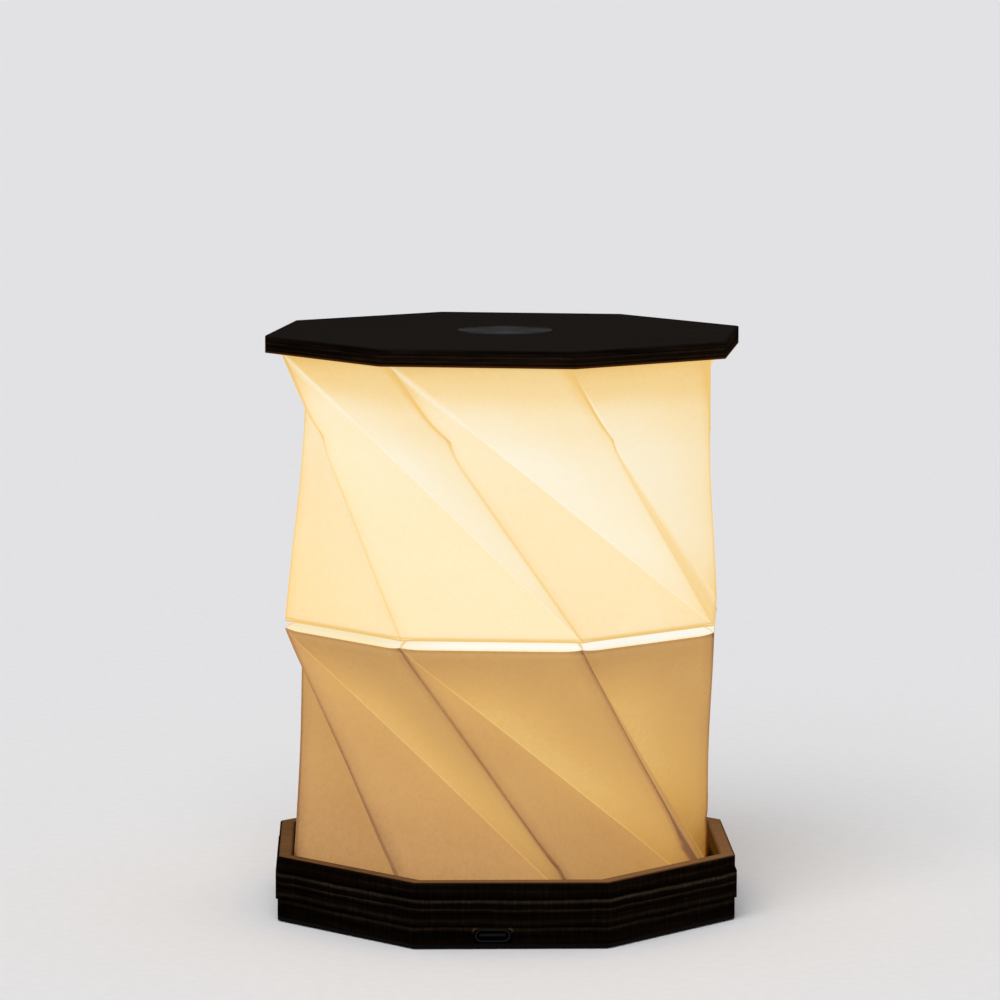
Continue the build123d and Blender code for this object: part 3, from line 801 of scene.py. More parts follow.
@dataclass(frozen=True)
class BurntPly(Finish):
    """Laser-cut plywood: scorched edges with the plies as lines, a brown veneer on top, and painted
    light from the glowing shade.
    """

    plies: Stops = ()
    low: float = 0.0
    high: float = 0.0173
    turn: float = 0.0
    veneer: Rgba = (0.2, 0.11, 0.05, 1.0)
    scorch: Rgba = (0.03, 0.016, 0.009, 1.0)
    outer: float = 0.060
    inner: float = 0.056
    burn: float = 0.0009
    contrast: float = 1.0
    dark: float = 1.0
    waver: float = 0.0017
    # Painted light: the warm emission between two heights stands for the shade's glow on the inner
    # walls, or on the lid's sides, and the rim's emission for its glow on the rim's top.
    spill_light: Rgba = BLACK
    spill_light_low: float = 0.0
    spill_light_high: float = 0.0
    spill_light_inside: bool = True
    rim_lamplight: Rgba = BLACK
    charred_below: float = 0.0
    edge_char: float = 0.0
    smoke: Tuple[Tuple[float, float], ...] = ()
    smoke_core: float = 0.0002
    smoke_reach: float = 0.0009
    smoke_tan: Rgba = screen(58, 47, 30)
    ticks: float = 0.4

    def dress(self, w: Wiring, shader: Node, place: Socket, effects: Effects) -> None:
        """Wires the plies, the veneer, the scorched edges and the painted light from the shade into
        the shader.

        Args:
            w: The material's wiring.
            shader: The Principled shader.
            place: Object coordinates.
            effects: The shared effects.
        """
        x, y, z = w.split(place)
        nx, ny, nz = w.split(w.add("NewGeometry").outputs["Normal"])
        flat = w.span(w.math("ABSOLUTE", nz), 0.55, 0.8)
        ticks = w.noise(w.stretched(place, (1500.0, 1500.0, 90.0)), 1.0, 2.0)
        char = w.noise(w.stretched(place, (42.0, 42.0, 700.0)), 1.0, 4.0, 0.65)
        soot = w.plus(w.times(ticks, self.ticks), w.times(char, 1.0 - self.ticks))
        side = self.smoked(w, self.cut_side(w, place, z, soot, nx), x, y, z)
        face = w.mix(flat, side, self.veneer_top(w, place, z, char, effects))
        # Painted light: the shade's glow falls on the inner walls, more on the right, or on the
        # lid's sides near their lower edge.
        spill = w.span(z, self.spill_light_low, self.spill_light_high)
        if self.spill_light_inside:
            inward = w.plus(w.times(nx, x), w.times(ny, y))
            spill = w.times(spill, w.span(inward, 0.0, -0.01))
            spill = w.times(spill, w.span(x, -0.01, 0.045, 0.25, 1.0))
        else:
            spill = w.times(spill, w.less(1.0, flat))
        # Painted light: the rim's top edge catches the shade's glow, more on the right.
        rim = w.times(w.times(flat, w.span(x, -0.05, 0.03)),
                      w.span(z, self.high - 0.0006, self.high - 0.0002))
        lit = w.mix(rim, w.mix(spill, BLACK, self.spill_light), self.rim_lamplight)
        rough = w.plus(self.roughness, w.times(w.less(soot, 0.5), 0.4), clamp=True)
        w.set(shader, Base_Color=face, Emission_Color=lit, Emission_Strength=1.0, Roughness=rough)
        lines = w.set(w.add("RGBToBW"), Color=face)
        self.press(w, shader, w.plus(w.times(lines.outputs[0], 3.0), soot), 0.5, 0.00012)

    def cut_side(self, w: Wiring, place: Socket, z: Socket, soot: Socket, nx: Socket) -> Socket:
        """Lays the plies as wavering lines under soot, with painted light on faces that look to the
        right.

        Args:
            w: The material's wiring.
            place: Object coordinates.
            z: Height, in metres.
            soot: How sooty the edge is, 0 to 1.
            nx: How far the face looks to the right, -1 to 1.

        Returns:
            The colour of the cut edge.
        """
        wander = w.noise(w.stretched(place, (52.0, 52.0, 70.0)), 1.0, 4.0, 0.6)
        wave = w.times(w.less(wander, 0.5), self.waver)
        side = w.ramp(w.span(w.plus(z, wave), self.low, self.high, smooth=False), self.plies)
        side = w.mix(1.0, side, w.ramp(soot, [
            (low, grey(level * self.dark)) for low, level in ((0.30, 0.42), (0.5, 0.9), (0.66, 1.9))
        ]), "MULTIPLY")
        # Painted light: faces that look to the right are drawn lighter.
        return w.mix(w.span(nx, 0.3, 0.6), side, w.mix(1.0, side, grey(1.6), "MULTIPLY"))

    def veneer_top(self, w: Wiring, place: Socket, z: Socket, char: Socket,
                   effects: Effects) -> Socket:
        """Lays the veneer and scorches it along the board's outer and inner edges.

        Args:
            w: The material's wiring.
            place: Object coordinates.
            z: Height, in metres.
            char: Noise that makes the scorched band ragged.
            effects: The shared effects.

        Returns:
            The colour of the flat face.
        """
        octagon = w.group(effects.reach, Vector=place, Turn=math.radians(self.turn))
        reach = octagon.outputs["Reach"]
        wood = w.group(effects.grain, Vector=place, Contrast=self.contrast)
        top = w.mix(1.0, self.veneer, w.ramp(wood.outputs["Grain"], [
            (0.25, (0.62, 0.6, 0.58, 1.0)), (0.5, grey(0.95)),
            (0.8, (1.22, 1.2, 1.16, 1.0))]), "MULTIPLY")
        top = w.mix(w.times(wood.outputs["Pores"], 0.5), top, self.scorch)
        near = w.math("MINIMUM", w.math("ABSOLUTE", w.less(self.outer, reach)),
                      w.math("ABSOLUTE", w.less(reach, self.inner)))
        ragged = w.plus(near, w.times(w.less(char, 0.5), 0.0009))
        top = w.mix(w.span(ragged, 0.0, self.burn, 0.85, 0.0), top, self.scorch)
        black = scaled(self.scorch, 0.15)
        edge = self.outer - self.edge_char
        top = w.mix(w.span(reach, edge - 0.0001, edge + 0.0001), top, black)
        return w.mix(w.span(z, self.charred_below, self.charred_below + 0.0004), black, top)

    def smoked(self, w: Wiring, side: Socket, x: Socket, y: Socket, z: Socket) -> Socket:
        """Lays the tan deposit that the laser leaves round the corners of a small slot.

        Args:
            w: The material's wiring.
            side: Colour of the cut edge.
            x: Place along the front, in metres.
            y: Depth, in metres, negative at the front.
            z: Height, in metres.

        Returns:
            The colour with the deposit.
        """
        front = w.span(y, -0.050, -0.055)
        for across, height in self.smoke:
            gap = w.math("SQRT", w.plus(w.math("POWER", w.less(x, across), 2.0),
                                        w.math("POWER", w.less(z, height), 2.0)))
            share = w.times(w.span(gap, self.smoke_core, self.smoke_reach, 1.0, 0.0), front)
            side = w.mix(share, side, self.smoke_tan)
        return side


@dataclass(frozen=True)
class SpunMetal(Finish):
    """A turned metal face: fine rings, and painted highlights drawn out into fans."""

    rim_tint: Rgba = (0.015, 0.016, 0.02, 1.0)

    def dress(self, w: Wiring, shader: Node, place: Socket, effects: Effects) -> None:
        """Wires the rings and the painted highlight fans into the shader.

        Args:
            w: The material's wiring.
            shader: The Principled shader.
            place: Object coordinates.
            effects: The shared effects.
        """
        x, y, _ = w.split(place)
        angle = w.math("ARCTAN2", y, x)
        radius = w.math("SQRT", w.plus(w.times(x, x), w.times(y, y)))
        # Painted highlights: bright fans to the left and right, broken into spokes and dimmer near
        # the centre.
        lobes = w.math("COSINE", w.times(angle, 2.0))
        spokes = w.noise(w.times(angle, 3.0), 2.2, 4.0, 0.7)
        shine = w.plus(w.times(lobes, 0.28), w.times(spokes, 0.8))
        shine = w.times(shine, w.span(radius, 0.0, 0.004, 0.55, 1.0))
        bands = w.ramp(w.plus(shine, 0.05, clamp=True), stops(
            (0.05, 29, 31, 38), (0.35, 42, 43, 48), (0.6, 64, 64, 64), (0.85, 94, 92, 90)))
        rings = w.noise(w.times(radius, 9000.0), 1.0, 2.0)
        spots = w.group(effects.speckle, Vector=place, Size=self.speckle)
        painted_fan_colour = w.mix(w.times(rings, 0.25), bands, self.colour)
        rough = w.plus(self.roughness - 0.08, w.plus(
            w.times(rings, 0.12), w.times(spots.outputs["Cloud"], 0.08)))
        w.set(shader, Base_Color=painted_fan_colour, Roughness=rough, Anisotropic=0.5,
              Specular_Tint=self.rim_tint)
        self.press(w, shader, rings, 0.12, 0.00003)


@dataclass(frozen=True)
class LitEmitter(Finish):
    """The yellow coating of a light emitter that is switched on."""

    def dress(self, w: Wiring, shader: Node, place: Socket, effects: Effects) -> None:
        """Wires the coating's glow into the shader.

        Args:
            w: The material's wiring.
            shader: The Principled shader.
            place: Object coordinates.
            effects: The shared effects.
        """
        spots = w.group(effects.speckle, Vector=place, Size=self.speckle)
        _, _, nz = w.split(w.add("NewGeometry").outputs["Normal"])
        face = w.span(nz, -0.5, -0.9)
        shell = w.mix(spots.outputs["Fine"], screen(226, 222, 210), screen(244, 240, 230))
        w.set(shader, Base_Color=w.mix(face, shell, self.colour), Emission_Strength=1.0,
              Emission_Color=w.mix(face, BLACK, screen(255, 236, 190)))
        self.press(w, shader, spots.outputs["Fine"], self.bump)


@dataclass(frozen=True)
class CircuitBoard(Finish):
    """Solder mask with copper tracks under it, and darker chips above the mask's top."""

    mask_top: float = 0.0

    def dress(self, w: Wiring, shader: Node, place: Socket, effects: Effects) -> None:
        """Wires the tracks into the shader.

        Args:
            w: The material's wiring.
            shader: The Principled shader.
            place: Object coordinates.
            effects: The shared effects.
        """
        millimetres = (1000.0, 1000.0, 1000.0)
        tracks = w.set(w.add("TexBrick"), Vector=w.stretched(place, millimetres), Scale=0.42,
                       Mortar_Size=0.09, Color1=self.colour, Color2=scaled(self.colour, 0.8),
                       Mortar=scaled(self.colour, 1.9))
        spots = w.group(effects.speckle, Vector=place, Size=self.speckle)
        _, _, z = w.split(place)
        chip = w.span(w.less(self.mask_top, z), -0.00005, 0.00005, smooth=False)
        chip = w.less(1.0, chip) if self.mask_top > 0.0 else 0.0
        w.set(shader, Base_Color=w.mix(chip, tracks.outputs["Color"], screen(30, 30, 32)),
              Roughness=w.plus(0.32, w.times(spots.outputs["Fine"], 0.2)))
        self.press(w, shader, tracks.outputs["Fac"], 0.3, 0.00004)


class Body(Enum):
    """The bodies that pieces ride on."""

    BASE = "base"
    MIDDLE = "middle"
    LID = "lid"


class Storey(Enum):
    """The two storeys of the shade."""

    LOWER = "lower_shade"
    UPPER = "upper_shade"


PAPER: Rgba = (0.21, 0.13, 0.062, 1.0)
BASE_PLIES: Stops = stops(
    (0.000, 8, 6, 4), (0.075, 7, 5, 4), (0.095, 19, 10, 6), (0.20, 12, 7, 4), (0.265, 14, 9, 6),
    (0.312, 38, 30, 22), (0.344, 13, 8, 5), (0.349, 8, 5, 4), (0.353, 3, 2, 2),
    (0.368, 16, 10, 6), (0.380, 13, 8, 5), (0.428, 34, 26, 18), (0.475, 14, 9, 6),
    (0.490, 13, 8, 5), (0.515, 22, 13, 8), (0.526, 3, 2, 2), (0.55, 15, 9, 6), (0.570, 16, 10, 6),
    (0.602, 44, 34, 25), (0.619, 14, 8, 5), (0.685, 15, 9, 6), (0.728, 55, 46, 35),
    (0.752, 20, 13, 8), (0.7545, 12, 7, 4), (0.757, 3, 2, 2), (0.785, 13, 8, 5),
    (0.84, 18, 11, 7), (0.87, 28, 19, 13), (0.90, 14, 9, 6), (0.95, 16, 10, 6),
    (1.000, 30, 18, 11),
)
LID_PLIES: Stops = stops(
    (0.00, 30, 16, 8), (0.10, 15, 8, 4), (0.22, 13, 8, 5), (0.28, 28, 18, 11), (0.34, 12, 7, 4),
    (0.52, 14, 9, 6), (0.58, 30, 19, 12), (0.63, 12, 8, 5), (0.667, 3, 2, 2), (0.70, 20, 13, 9),
    (0.82, 13, 8, 5), (1.00, 16, 12, 10),
)


class Paints:
    """Every finish of the lamp, made once and handed out by the record's slots."""

    def __init__(self, effects: Effects) -> None:
        """Builds the finishes.

        Args:
            effects: The shared effects.
        """
        # Painted light: the warm emission given to the stack, the tray floor and the lid stands for
        # the shade's glow on the tray's walls and floor, the rim's top and the lid's sides.
        stack = BurntPly(
            "plywood_edge", screen(40, 28, 19), roughness=0.75, specular=0.0, plies=BASE_PLIES,
            veneer=screen(107, 77, 49), scorch=screen(54, 34, 20), dark=0.48,
            spill_light=screen(70, 42, 8), spill_light_low=0.006, spill_light_high=0.013, charred_below=0.0165,
            edge_char=0.0004, rim_lamplight=screen(76, 53, 32),
            smoke=((-0.0092, 0.0050), (-0.0001, 0.0050)))
        floor = BurntPly(
            "dark_plywood", screen(36, 25, 17), roughness=0.75, specular=0.05, plies=BASE_PLIES,
            veneer=screen(70, 50, 32), scorch=screen(34, 22, 14), inner=0.002, dark=0.48,
            spill_light=screen(76, 46, 10), spill_light_low=0.006, spill_light_high=0.0078, charred_below=0.0016)
        lid = BurntPly(
            "lid_black", screen(27, 26, 23), roughness=0.8, specular=0.0, plies=LID_PLIES,
            low=0.14865, high=0.15315, turn=LID_TURN, veneer=screen(29, 26, 24),
            scorch=screen(21, 19, 17), inner=0.002, contrast=0.6, burn=0.0012, waver=0.0006,
            ticks=0.1, spill_light=screen(74, 38, 14), spill_light_low=0.1494, spill_light_high=0.1486,
            spill_light_inside=False)
        made = (
            stack, floor, lid,
            Finish("ring_card", screen(214, 196, 160), 0.8, bump=0.2),
            SpunMetal("spun_aluminium", screen(78, 78, 80), 0.34, 1.0),
            Finish("nickel_steel", screen(150, 148, 144), 0.3, 1.0, speckle=0.2),
            Finish("dark_steel", screen(32, 31, 32), 0.45, 1.0, speckle=0.15),
            Finish("zinc_screw", screen(168, 168, 164), 0.36, 1.0, speckle=0.15),
            Finish("black_plastic", screen(11, 11, 12), 0.6, specular=0.1, bump=0.08),
            Finish("white_plastic", screen(226, 222, 210), 0.45, bump=0.06),
            CircuitBoard("circuit_board", screen(26, 68, 48), 0.4, mask_top=0.00382),
            CircuitBoard("light_board_white", screen(222, 222, 216), 0.4),
            LitEmitter("emitter", screen(244, 216, 120), 0.5),
            Finish("cell_wrap", screen(156, 160, 166), 0.4, speckle=0.8, bump=0.15),
            Finish("foam_tape", screen(54, 54, 56), 0.95, speckle=0.3, bump=0.6),
            Finish("foot_pad", screen(40, 38, 36), 0.9, speckle=0.3, bump=0.4),
            Finish("grommet_rubber", screen(28, 28, 28), 0.75, bump=0.2),
            Finish("lead_sheath", screen(236, 232, 222), 0.45, speckle=0.5, bump=0.1),
        )
        self.finishes: Dict[str, Finish] = {finish.name: finish for finish in made}
        self.lower = GlowingPaper(
            "paper_lower_storey", PAPER, 0.78, specular=0.15, low=FOOT_Z, high=LOWER_TOP_Z,
            rise=((0.0, 0.29), (0.22, 0.36), (0.5, 0.52), (0.8, 0.53), (1.0, 0.43)),
            shades=stops(
                (0.0, 148, 106, 71), (0.1, 172, 128, 82), (0.25, 193, 147, 93),
                (0.5, 212, 166, 103), (0.75, 225, 179, 109), (1.0, 241, 202, 128)),
            valley_glow=0.34, panel_drop=0.08, panel_lift=0.12, ridge_line=0.26, ridge_shade=0.13,
            valley_line=0.2, sideways=1.2, head_line=-0.16, ridge_reach=0.0013, shade_reach=0.005,
            ridge_shadow=0.36, ridge_shadow_reach=0.022, cloudy=0.2, amber=(1.0, 0.97, 0.86, 1.0))
        self.upper = GlowingPaper(
            "paper_upper_storey", PAPER, 0.78, specular=0.15, low=UPPER_FOOT_Z, high=UPPER_TOP_Z,
            rise=((0.0, 0.50), (0.35, 0.56), (0.62, 0.64), (0.78, 0.52), (0.92, 0.26), (1.0, 0.14)),
            shades=stops(
                (0.0, 247, 204, 126), (0.25, 252, 219, 156), (0.5, 255, 232, 186),
                (0.75, 255, 241, 208), (1.0, 255, 250, 232)),
            valley_glow=0.22, panel_drop=-0.03, panel_lift=0.26, ridge_line=0.26, ridge_shade=0.10,
            valley_line=0.12, sideways=0.9, foot_line=-0.5, head_line=-0.15, head_crease=1.2,
            head_valley=0.26, edge_dim=0.08, ridge_reach=0.0010, shade_reach=0.004,
            ridge_shadow=0.34, ridge_shadow_reach=0.06, cloudy=0.24)
        self.pleat = PleatPaper("paper_waist_pleat", PAPER, 0.8, specular=0.15)
        self.effects = effects
        self.made: Dict[str, bpy.types.Material] = {}

    def material(self, finish: Finish) -> bpy.types.Material:
        """Hands out a finish's material, and makes it the first time.

        Args:
            finish: The finish.

        Returns:
            Its material.
        """
        if finish.name not in self.made:
            self.made[finish.name] = finish.make(self.effects)
        return self.made[finish.name]

    def paint(self, piece: Piece, finish: Finish) -> None:
        """Gives a piece one finish all over.

        Args:
            piece: The piece.
            finish: Its finish.
        """
        material = self.material(finish)
        if piece.material_slots:
            for place in piece.material_slots:
                place.material = material
        else:
            piece.data.materials.append(material)

    def paint_nodes(self) -> None:
        """Gives every CAD node the finish of its slot in the record."""
        slots = {entry["node"]: entry["material_slot"] for entry in frame["record"]["subparts"]}
        for name, node in sorted(frame["nodes"].items()):
            finish = self.finishes.get(slots[name])
            if finish is not None:
                self.paint(node, finish)
                log.info("node %s: %s", name, finish.name)


@dataclass
class PaperStorey:
    """One storey of the shade: eight ridges and eight valleys folded from one sheet."""

    storey: Storey
    body: Body
    joint: str
    top: float
    bottom: float
    top_turn: float
    bottom_turn: float
    anchor: float
    keep: float
    top_flats: float = SHADE_FLATS
    bottom_flats: float = SHADE_FLATS
    paper: float = PAPER_THICK
    kink_share: float = 0.275
    kink_side: float = 0.0018
    kink_in: float = 0.0004
    kink_reach: float = 0.0085
    kink_sizes: Tuple[float, ...] = (0.7, 0.9, 0.6, 0.15, 1.1, 1.05, 0.7, 0.9)
    kink_slips: Tuple[float, ...] = (0.01, -0.015, 0.02, -0.01, 0.025, -0.004, 0.0, 0.015)
    wide_kinks: Dict[int, float] = field(default_factory=dict)
    slack: float = 0.014
    slack_share: float = 0.45
    slack_reach: float = 0.042
    # Painted light and shade: the listed panels are drawn brighter or darker, and the shadowed
    # panels take a painted shadow along their ridges.
    tone_and_light: Dict[int, float] = field(default_factory=dict)
    tone_spread: float = 0.02
    tone_seed: int = 8
    shadowed_panels: Tuple[int, ...] = (12, 13)
    cuts: int = 23
    pinch_reach: float = 0.006
    pinch_top: float = 0.0
    pinch_bottom: float = 0.0
    trim: float = 0.0

    def corner(self, index: int, upper: bool) -> Vector:
        """Finds a corner of the storey's upper or lower edge.

        Args:
            index: Number of the corner.
            upper: Whether it is on the upper edge.

        Returns:
            The corner.
        """
        flats, turn, height = (
            (self.top_flats, self.top_turn, self.top) if upper
            else (self.bottom_flats, self.bottom_turn, self.bottom))
        return corner_place(octagon_radius(flats), index, turn, height)

    def ridge(self, index: int, share: float) -> Vector:
        """Finds a place on a ridge, at a share of the way down from its upper corner."""
        return self.corner(index, True).lerp(self.corner(index + 1, False), share)

    def kink(self, index: int) -> Vector:
        """Finds the place on a ridge round which the paper gives way a little.

        Args:
            index: Number of the ridge's upper corner.

        Returns:
            The place.
        """
        return self.ridge(index, self.kink_share)

    def fold(self) -> Piece:
        """Twists a prism into the storey and creases it.

        Returns:
            The creased sheet, without thickness.
        """
        middle = (self.top + self.bottom) / 2
        Workbench.clear()
        bpy.ops.mesh.primitive_cylinder_add(
            vertices=SIDES, radius=octagon_radius(self.top_flats), depth=self.top - self.bottom,
            end_fill_type="NOTHING", location=(0.0, 0.0, middle),
            rotation=(0.0, 0.0, math.radians(SIDE_TURN / 2 + self.top_turn)))
        piece = Workbench.name(self.storey.value + "_paper")
        Workbench.settle(piece)
        with Workbench.editing(piece):
            Workbench.pick(piece, "verts", lambda v: v.co.z < middle)
            Workbench.turn(SIDE_TURN + self.bottom_turn - self.top_turn)
            Workbench.widen(self.bottom_flats / self.top_flats)
            bpy.ops.mesh.select_mode(type="EDGE")
            Workbench.pick(piece, "edges", lambda e: abs(
                e.verts[0].co.z - e.verts[1].co.z) > SAME_PLACE)
            bpy.ops.mesh.mark_sharp()
            bpy.ops.mesh.select_mode(type="VERT")
            for index in range(SIDES):
                Workbench.pick_points(
                    piece, (self.corner(index, True), self.corner(index + 2, False)))
                bpy.ops.mesh.vert_connect()
                bpy.ops.mesh.mark_sharp()
            self.split_ridges(piece)
        return piece

    def split_ridges(self, piece: Piece) -> None:
        """Splits each ridge at the place where it gives way.

        Args:
            piece: The sheet, in edit mode.
        """
        halves = [self.ridge(index, 0.5) for index in range(SIDES)]
        bpy.ops.mesh.select_mode(type="EDGE")
        Workbench.pick(piece, "edges", lambda e: min(
            ((e.verts[0].co + e.verts[1].co) / 2 - half).length for half in halves) < SAME_PLACE)
        bpy.ops.mesh.subdivide(number_cuts=1)
        bpy.ops.mesh.select_mode(type="VERT")
        Workbench.pick_points(piece, halves)
        before, after = halves[0], self.kink(0)
        Workbench.widen(after.xy.length / before.xy.length)
        Workbench.turn(math.degrees(math.atan2(after.y, after.x) - math.atan2(before.y, before.x)))
        Workbench.lift(after.z - before.z)

    def measure_folds(self, piece: Piece) -> None:
        """Writes each point's gap to its ridge and valley, its panel's tone and painted light level,
        and whether the panel takes the painted ridge shadow, into UV maps.

        Args:
            piece: The creased sheet, before it is divided further.
        """
        layer = piece.data.uv_layers.new(name="folds")
        tone_and_light = piece.data.uv_layers.new(name="tone_and_light")
        draw, spread = random.Random(self.tone_seed), self.tone_spread
        panel_tone_and_light = [draw.uniform(-spread, spread) for _ in range(2 * SIDES)]
        for index, listed_light in self.tone_and_light.items():
            panel_tone_and_light[index] = listed_light
        for face in piece.data.polygons:
            centre = face.center
            index = min(range(SIDES), key=lambda k: self.valley_gap(k, centre))
            start, end = self.corner(index, True), self.corner(index + 2, False)
            wide = 0 if self.around(start, end, centre) < 0.0 else 1
            ridge = index + wide
            head, kink, foot = (
                self.corner(ridge, True), self.kink(ridge), self.corner(ridge + 1, False))
            panel = 2 * index + wide
            ridge_shadow = 1.0 if panel in self.shadowed_panels else 0.0
            for loop in face.loop_indices:
                place = piece.data.vertices[piece.data.loops[loop].vertex_index].co
                gap = self.line_gap(place, start, end)
                rise = min(self.line_gap(place, head, kink), self.line_gap(place, kink, foot))
                if min((place - spot).length for spot in (head, kink, foot)) < SAME_PLACE:
                    rise = 0.0
                side = gap if wide else -gap
                layer.data[loop].uv = (rise / FOLD_SCALE, 0.5 + side / FOLD_SCALE)
                tone_and_light.data[loop].uv = (0.5 + panel_tone_and_light[panel], ridge_shadow)

    def valley_gap(self, index: int, place: Vector) -> float:
        """Measures how far a face's centre is from the four triangles beside one valley.

        Args:
            index: Number of the valley's upper corner.
            place: The centre of the face.

        Returns:
            The gap in metres, none where the face is one of the four.
        """
        start, end = self.corner(index, True), self.corner(index + 2, False)
        near, far = self.kink(index), self.kink(index + 1)
        triangles = ((start, end, near), (near, end, self.corner(index + 1, False)),
                     (start, far, self.corner(index + 1, True)), (start, end, far))
        return min((place - (a + b + c) / 3).length for a, b, c in triangles)

    def around(self, start: Vector, end: Vector, place: Vector) -> float:
        """Tells on which side of a valley a place lies.

        Args:
            start: The valley's upper end.
            end: Its lower end.
            place: The place.

        Returns:
            A value below 0 on the narrow-topped panel, and above 0 on the wide-topped one.
        """
        share = (start.z - place.z) / (start.z - end.z)
        line = start.lerp(end, share)
        turn = math.atan2(place.y, place.x) - math.atan2(line.y, line.x)
        return (turn + math.pi) % math.tau - math.pi

    @staticmethod
    def line_gap(place: Vector, start: Vector, end: Vector) -> float:
        """Returns the distance of a place from the line through two points."""
        return (place - start).cross(end - start).length / (end - start).length

    def give_way(self, piece: Piece) -> None:
        """Draws the middle in, bends each ridge at its kink, and pinches the edges' corners.

        Args:
            piece: The divided sheet, in edit mode.
        """
        bpy.ops.mesh.select_mode(type="VERT")
        belt = [self.corner(index, True).lerp(self.corner(index + step, False), self.slack_share)
                for index in range(SIDES) for step in (1, 2)]
        Workbench.pick_points(piece, belt)
        Workbench.widen(1 - self.slack, self.slack_reach, "SMOOTH")
        for index, (size, slip) in enumerate(zip(self.kink_sizes, self.kink_slips)):
            place = self.ridge(index, self.kink_share + slip)
            out = place.xy.length
            reach = self.wide_kinks.get(index, self.kink_reach)
            Workbench.pick_points(piece, [place])
            Workbench.turn(math.degrees(size * self.kink_side / out), reach)
            Workbench.widen(1 - abs(size) * self.kink_in / out, reach)
        for upper, amount in ((True, self.pinch_top), (False, self.pinch_bottom)):
            if amount:
                Workbench.pick_points(piece, [self.corner(index, upper) for index in range(SIDES)])
                Workbench.lift(amount, self.pinch_reach)

    def build(self, paints: Paints) -> Piece:
        """Builds the storey and hangs it on its body.

        Args:
            paints: The finishes.

        Returns:
            The finished storey.
        """
        piece = self.fold()
        self.measure_folds(piece)
        with Workbench.editing(piece):
            bpy.ops.mesh.select_all(action="SELECT")
            bpy.ops.mesh.subdivide(number_cuts=self.cuts)
            self.give_way(piece)
            if self.trim:
                bpy.ops.mesh.select_all(action="SELECT")
                bpy.ops.mesh.bisect(plane_co=(0.0, 0.0, self.trim), plane_no=(0.0, 0.0, 1.0),
                                    clear_inner=True)
        Workbench.take(piece)
        bpy.ops.object.shade_smooth(keep_sharp_edges=True)
        self.face_out(piece)
        Workbench.modify(piece, "SOLIDIFY", thickness=self.paper, offset=-1.0)
        paints.paint(piece, paints.lower if self.storey is Storey.LOWER else paints.upper)
        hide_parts(self.storey.value)
        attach(piece, self.body.value)
        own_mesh(piece)
        return piece

    @staticmethod
    def face_out(piece: Piece) -> None:
        """Points an open sheet's faces away from the lamp's axis.

        Args:
            piece: The sheet.
        """
        first = piece.data.polygons[0]
        if first.normal.xy.dot(first.center.xy) < 0.0:
            piece.data.flip_normals()


@dataclass
class WaistPleat:
    """The pleat between the storeys, folded inwards and drawn tight at its corners."""

    top: float = WAIST_TOP_Z
    bottom: float = WAIST_LOW_Z
    fold_height: float = 0.0780
    across_flats: float = SHADE_FLATS
    fold_flats: float = 0.1070
    set_in: float = 0.0002
    bow: float = 0.00022
    lower_steps: int = 6
    upper_steps: int = 3
    cuts: int = 23
    turn: float = MIDDLE_TURN
    pinch_top: float = -0.0001
    pinch_bottom: float = 0.0005
    pinch_reach: float = 0.006
    paper: float = PAPER_THICK

    def profile(self) -> List[Tuple[float, float]]:
        """Lists the pleat's section from its lower edge over the fold to its upper edge.

        Returns:
            Size across flats and height of each crease line.
        """
        edge, fold = self.across_flats - self.set_in, self.fold_flats
        points = []
        for step in range(self.lower_steps + 1):
            share = step / self.lower_steps
            bow = self.bow * math.sin(math.pi * share)
            points.append((edge + (fold - edge) * share + bow * 2,
                           self.bottom + (self.fold_height - self.bottom) * share + bow))
        for step in range(1, self.upper_steps + 1):
            share = step / self.upper_steps
            points.append((fold + (edge - fold) * share,
                           self.fold_height + (self.top - self.fold_height) * share))
        return points

    def build(self, paints: Paints) -> Piece:
        """Extrudes the pleat line by line and hangs it on the middle.

        Args:
            paints: The finishes.

        Returns:
            The finished pleat.
        """
        profile = self.profile()
        Workbench.clear()
        bpy.ops.mesh.primitive_circle_add(
            vertices=SIDES, radius=octagon_radius(profile[0][0]), location=(0, 0, profile[0][1]),
            rotation=(0, 0, math.radians(SIDE_TURN / 2 + self.turn)))
        piece = Workbench.name("waist_pleat_paper")
        Workbench.settle(piece)
        with Workbench.editing(piece, "EDGE"):
            bpy.ops.mesh.select_all(action="SELECT")
            bpy.ops.mesh.subdivide(number_cuts=self.cuts)
            size, height = profile[0]
            for next_size, next_height in profile[1:]:
                bpy.ops.mesh.extrude_region_move()
                Workbench.widen(next_size / size)
                Workbench.lift(next_height - height)
                size, height = next_size, next_height
            self.pinch(piece, profile)
        PaperStorey.face_out(piece)
        Workbench.modify(piece, "SOLIDIFY", thickness=self.paper, offset=-1.0)
        Workbench.shade(piece, 25.0)
        paints.paint(piece, paints.pleat)
        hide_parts("waist_pleat")
        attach(piece, Body.MIDDLE.value)
        return piece

    def pinch(self, piece: Piece, profile: Sequence[Tuple[float, float]]) -> None:
        """Draws the two edges together at the corners.

        Args:
            piece: The extruded pleat, in edit mode.
            profile: Its section.
        """
        bpy.ops.mesh.select_mode(type="VERT")
        for (size, height), amount in ((profile[0], self.pinch_bottom),
                                       (profile[-1], self.pinch_top)):
            Workbench.pick_points(piece, [
                corner_place(octagon_radius(size), k, self.turn, height) for k in range(SIDES)])
            Workbench.lift(amount, self.pinch_reach)


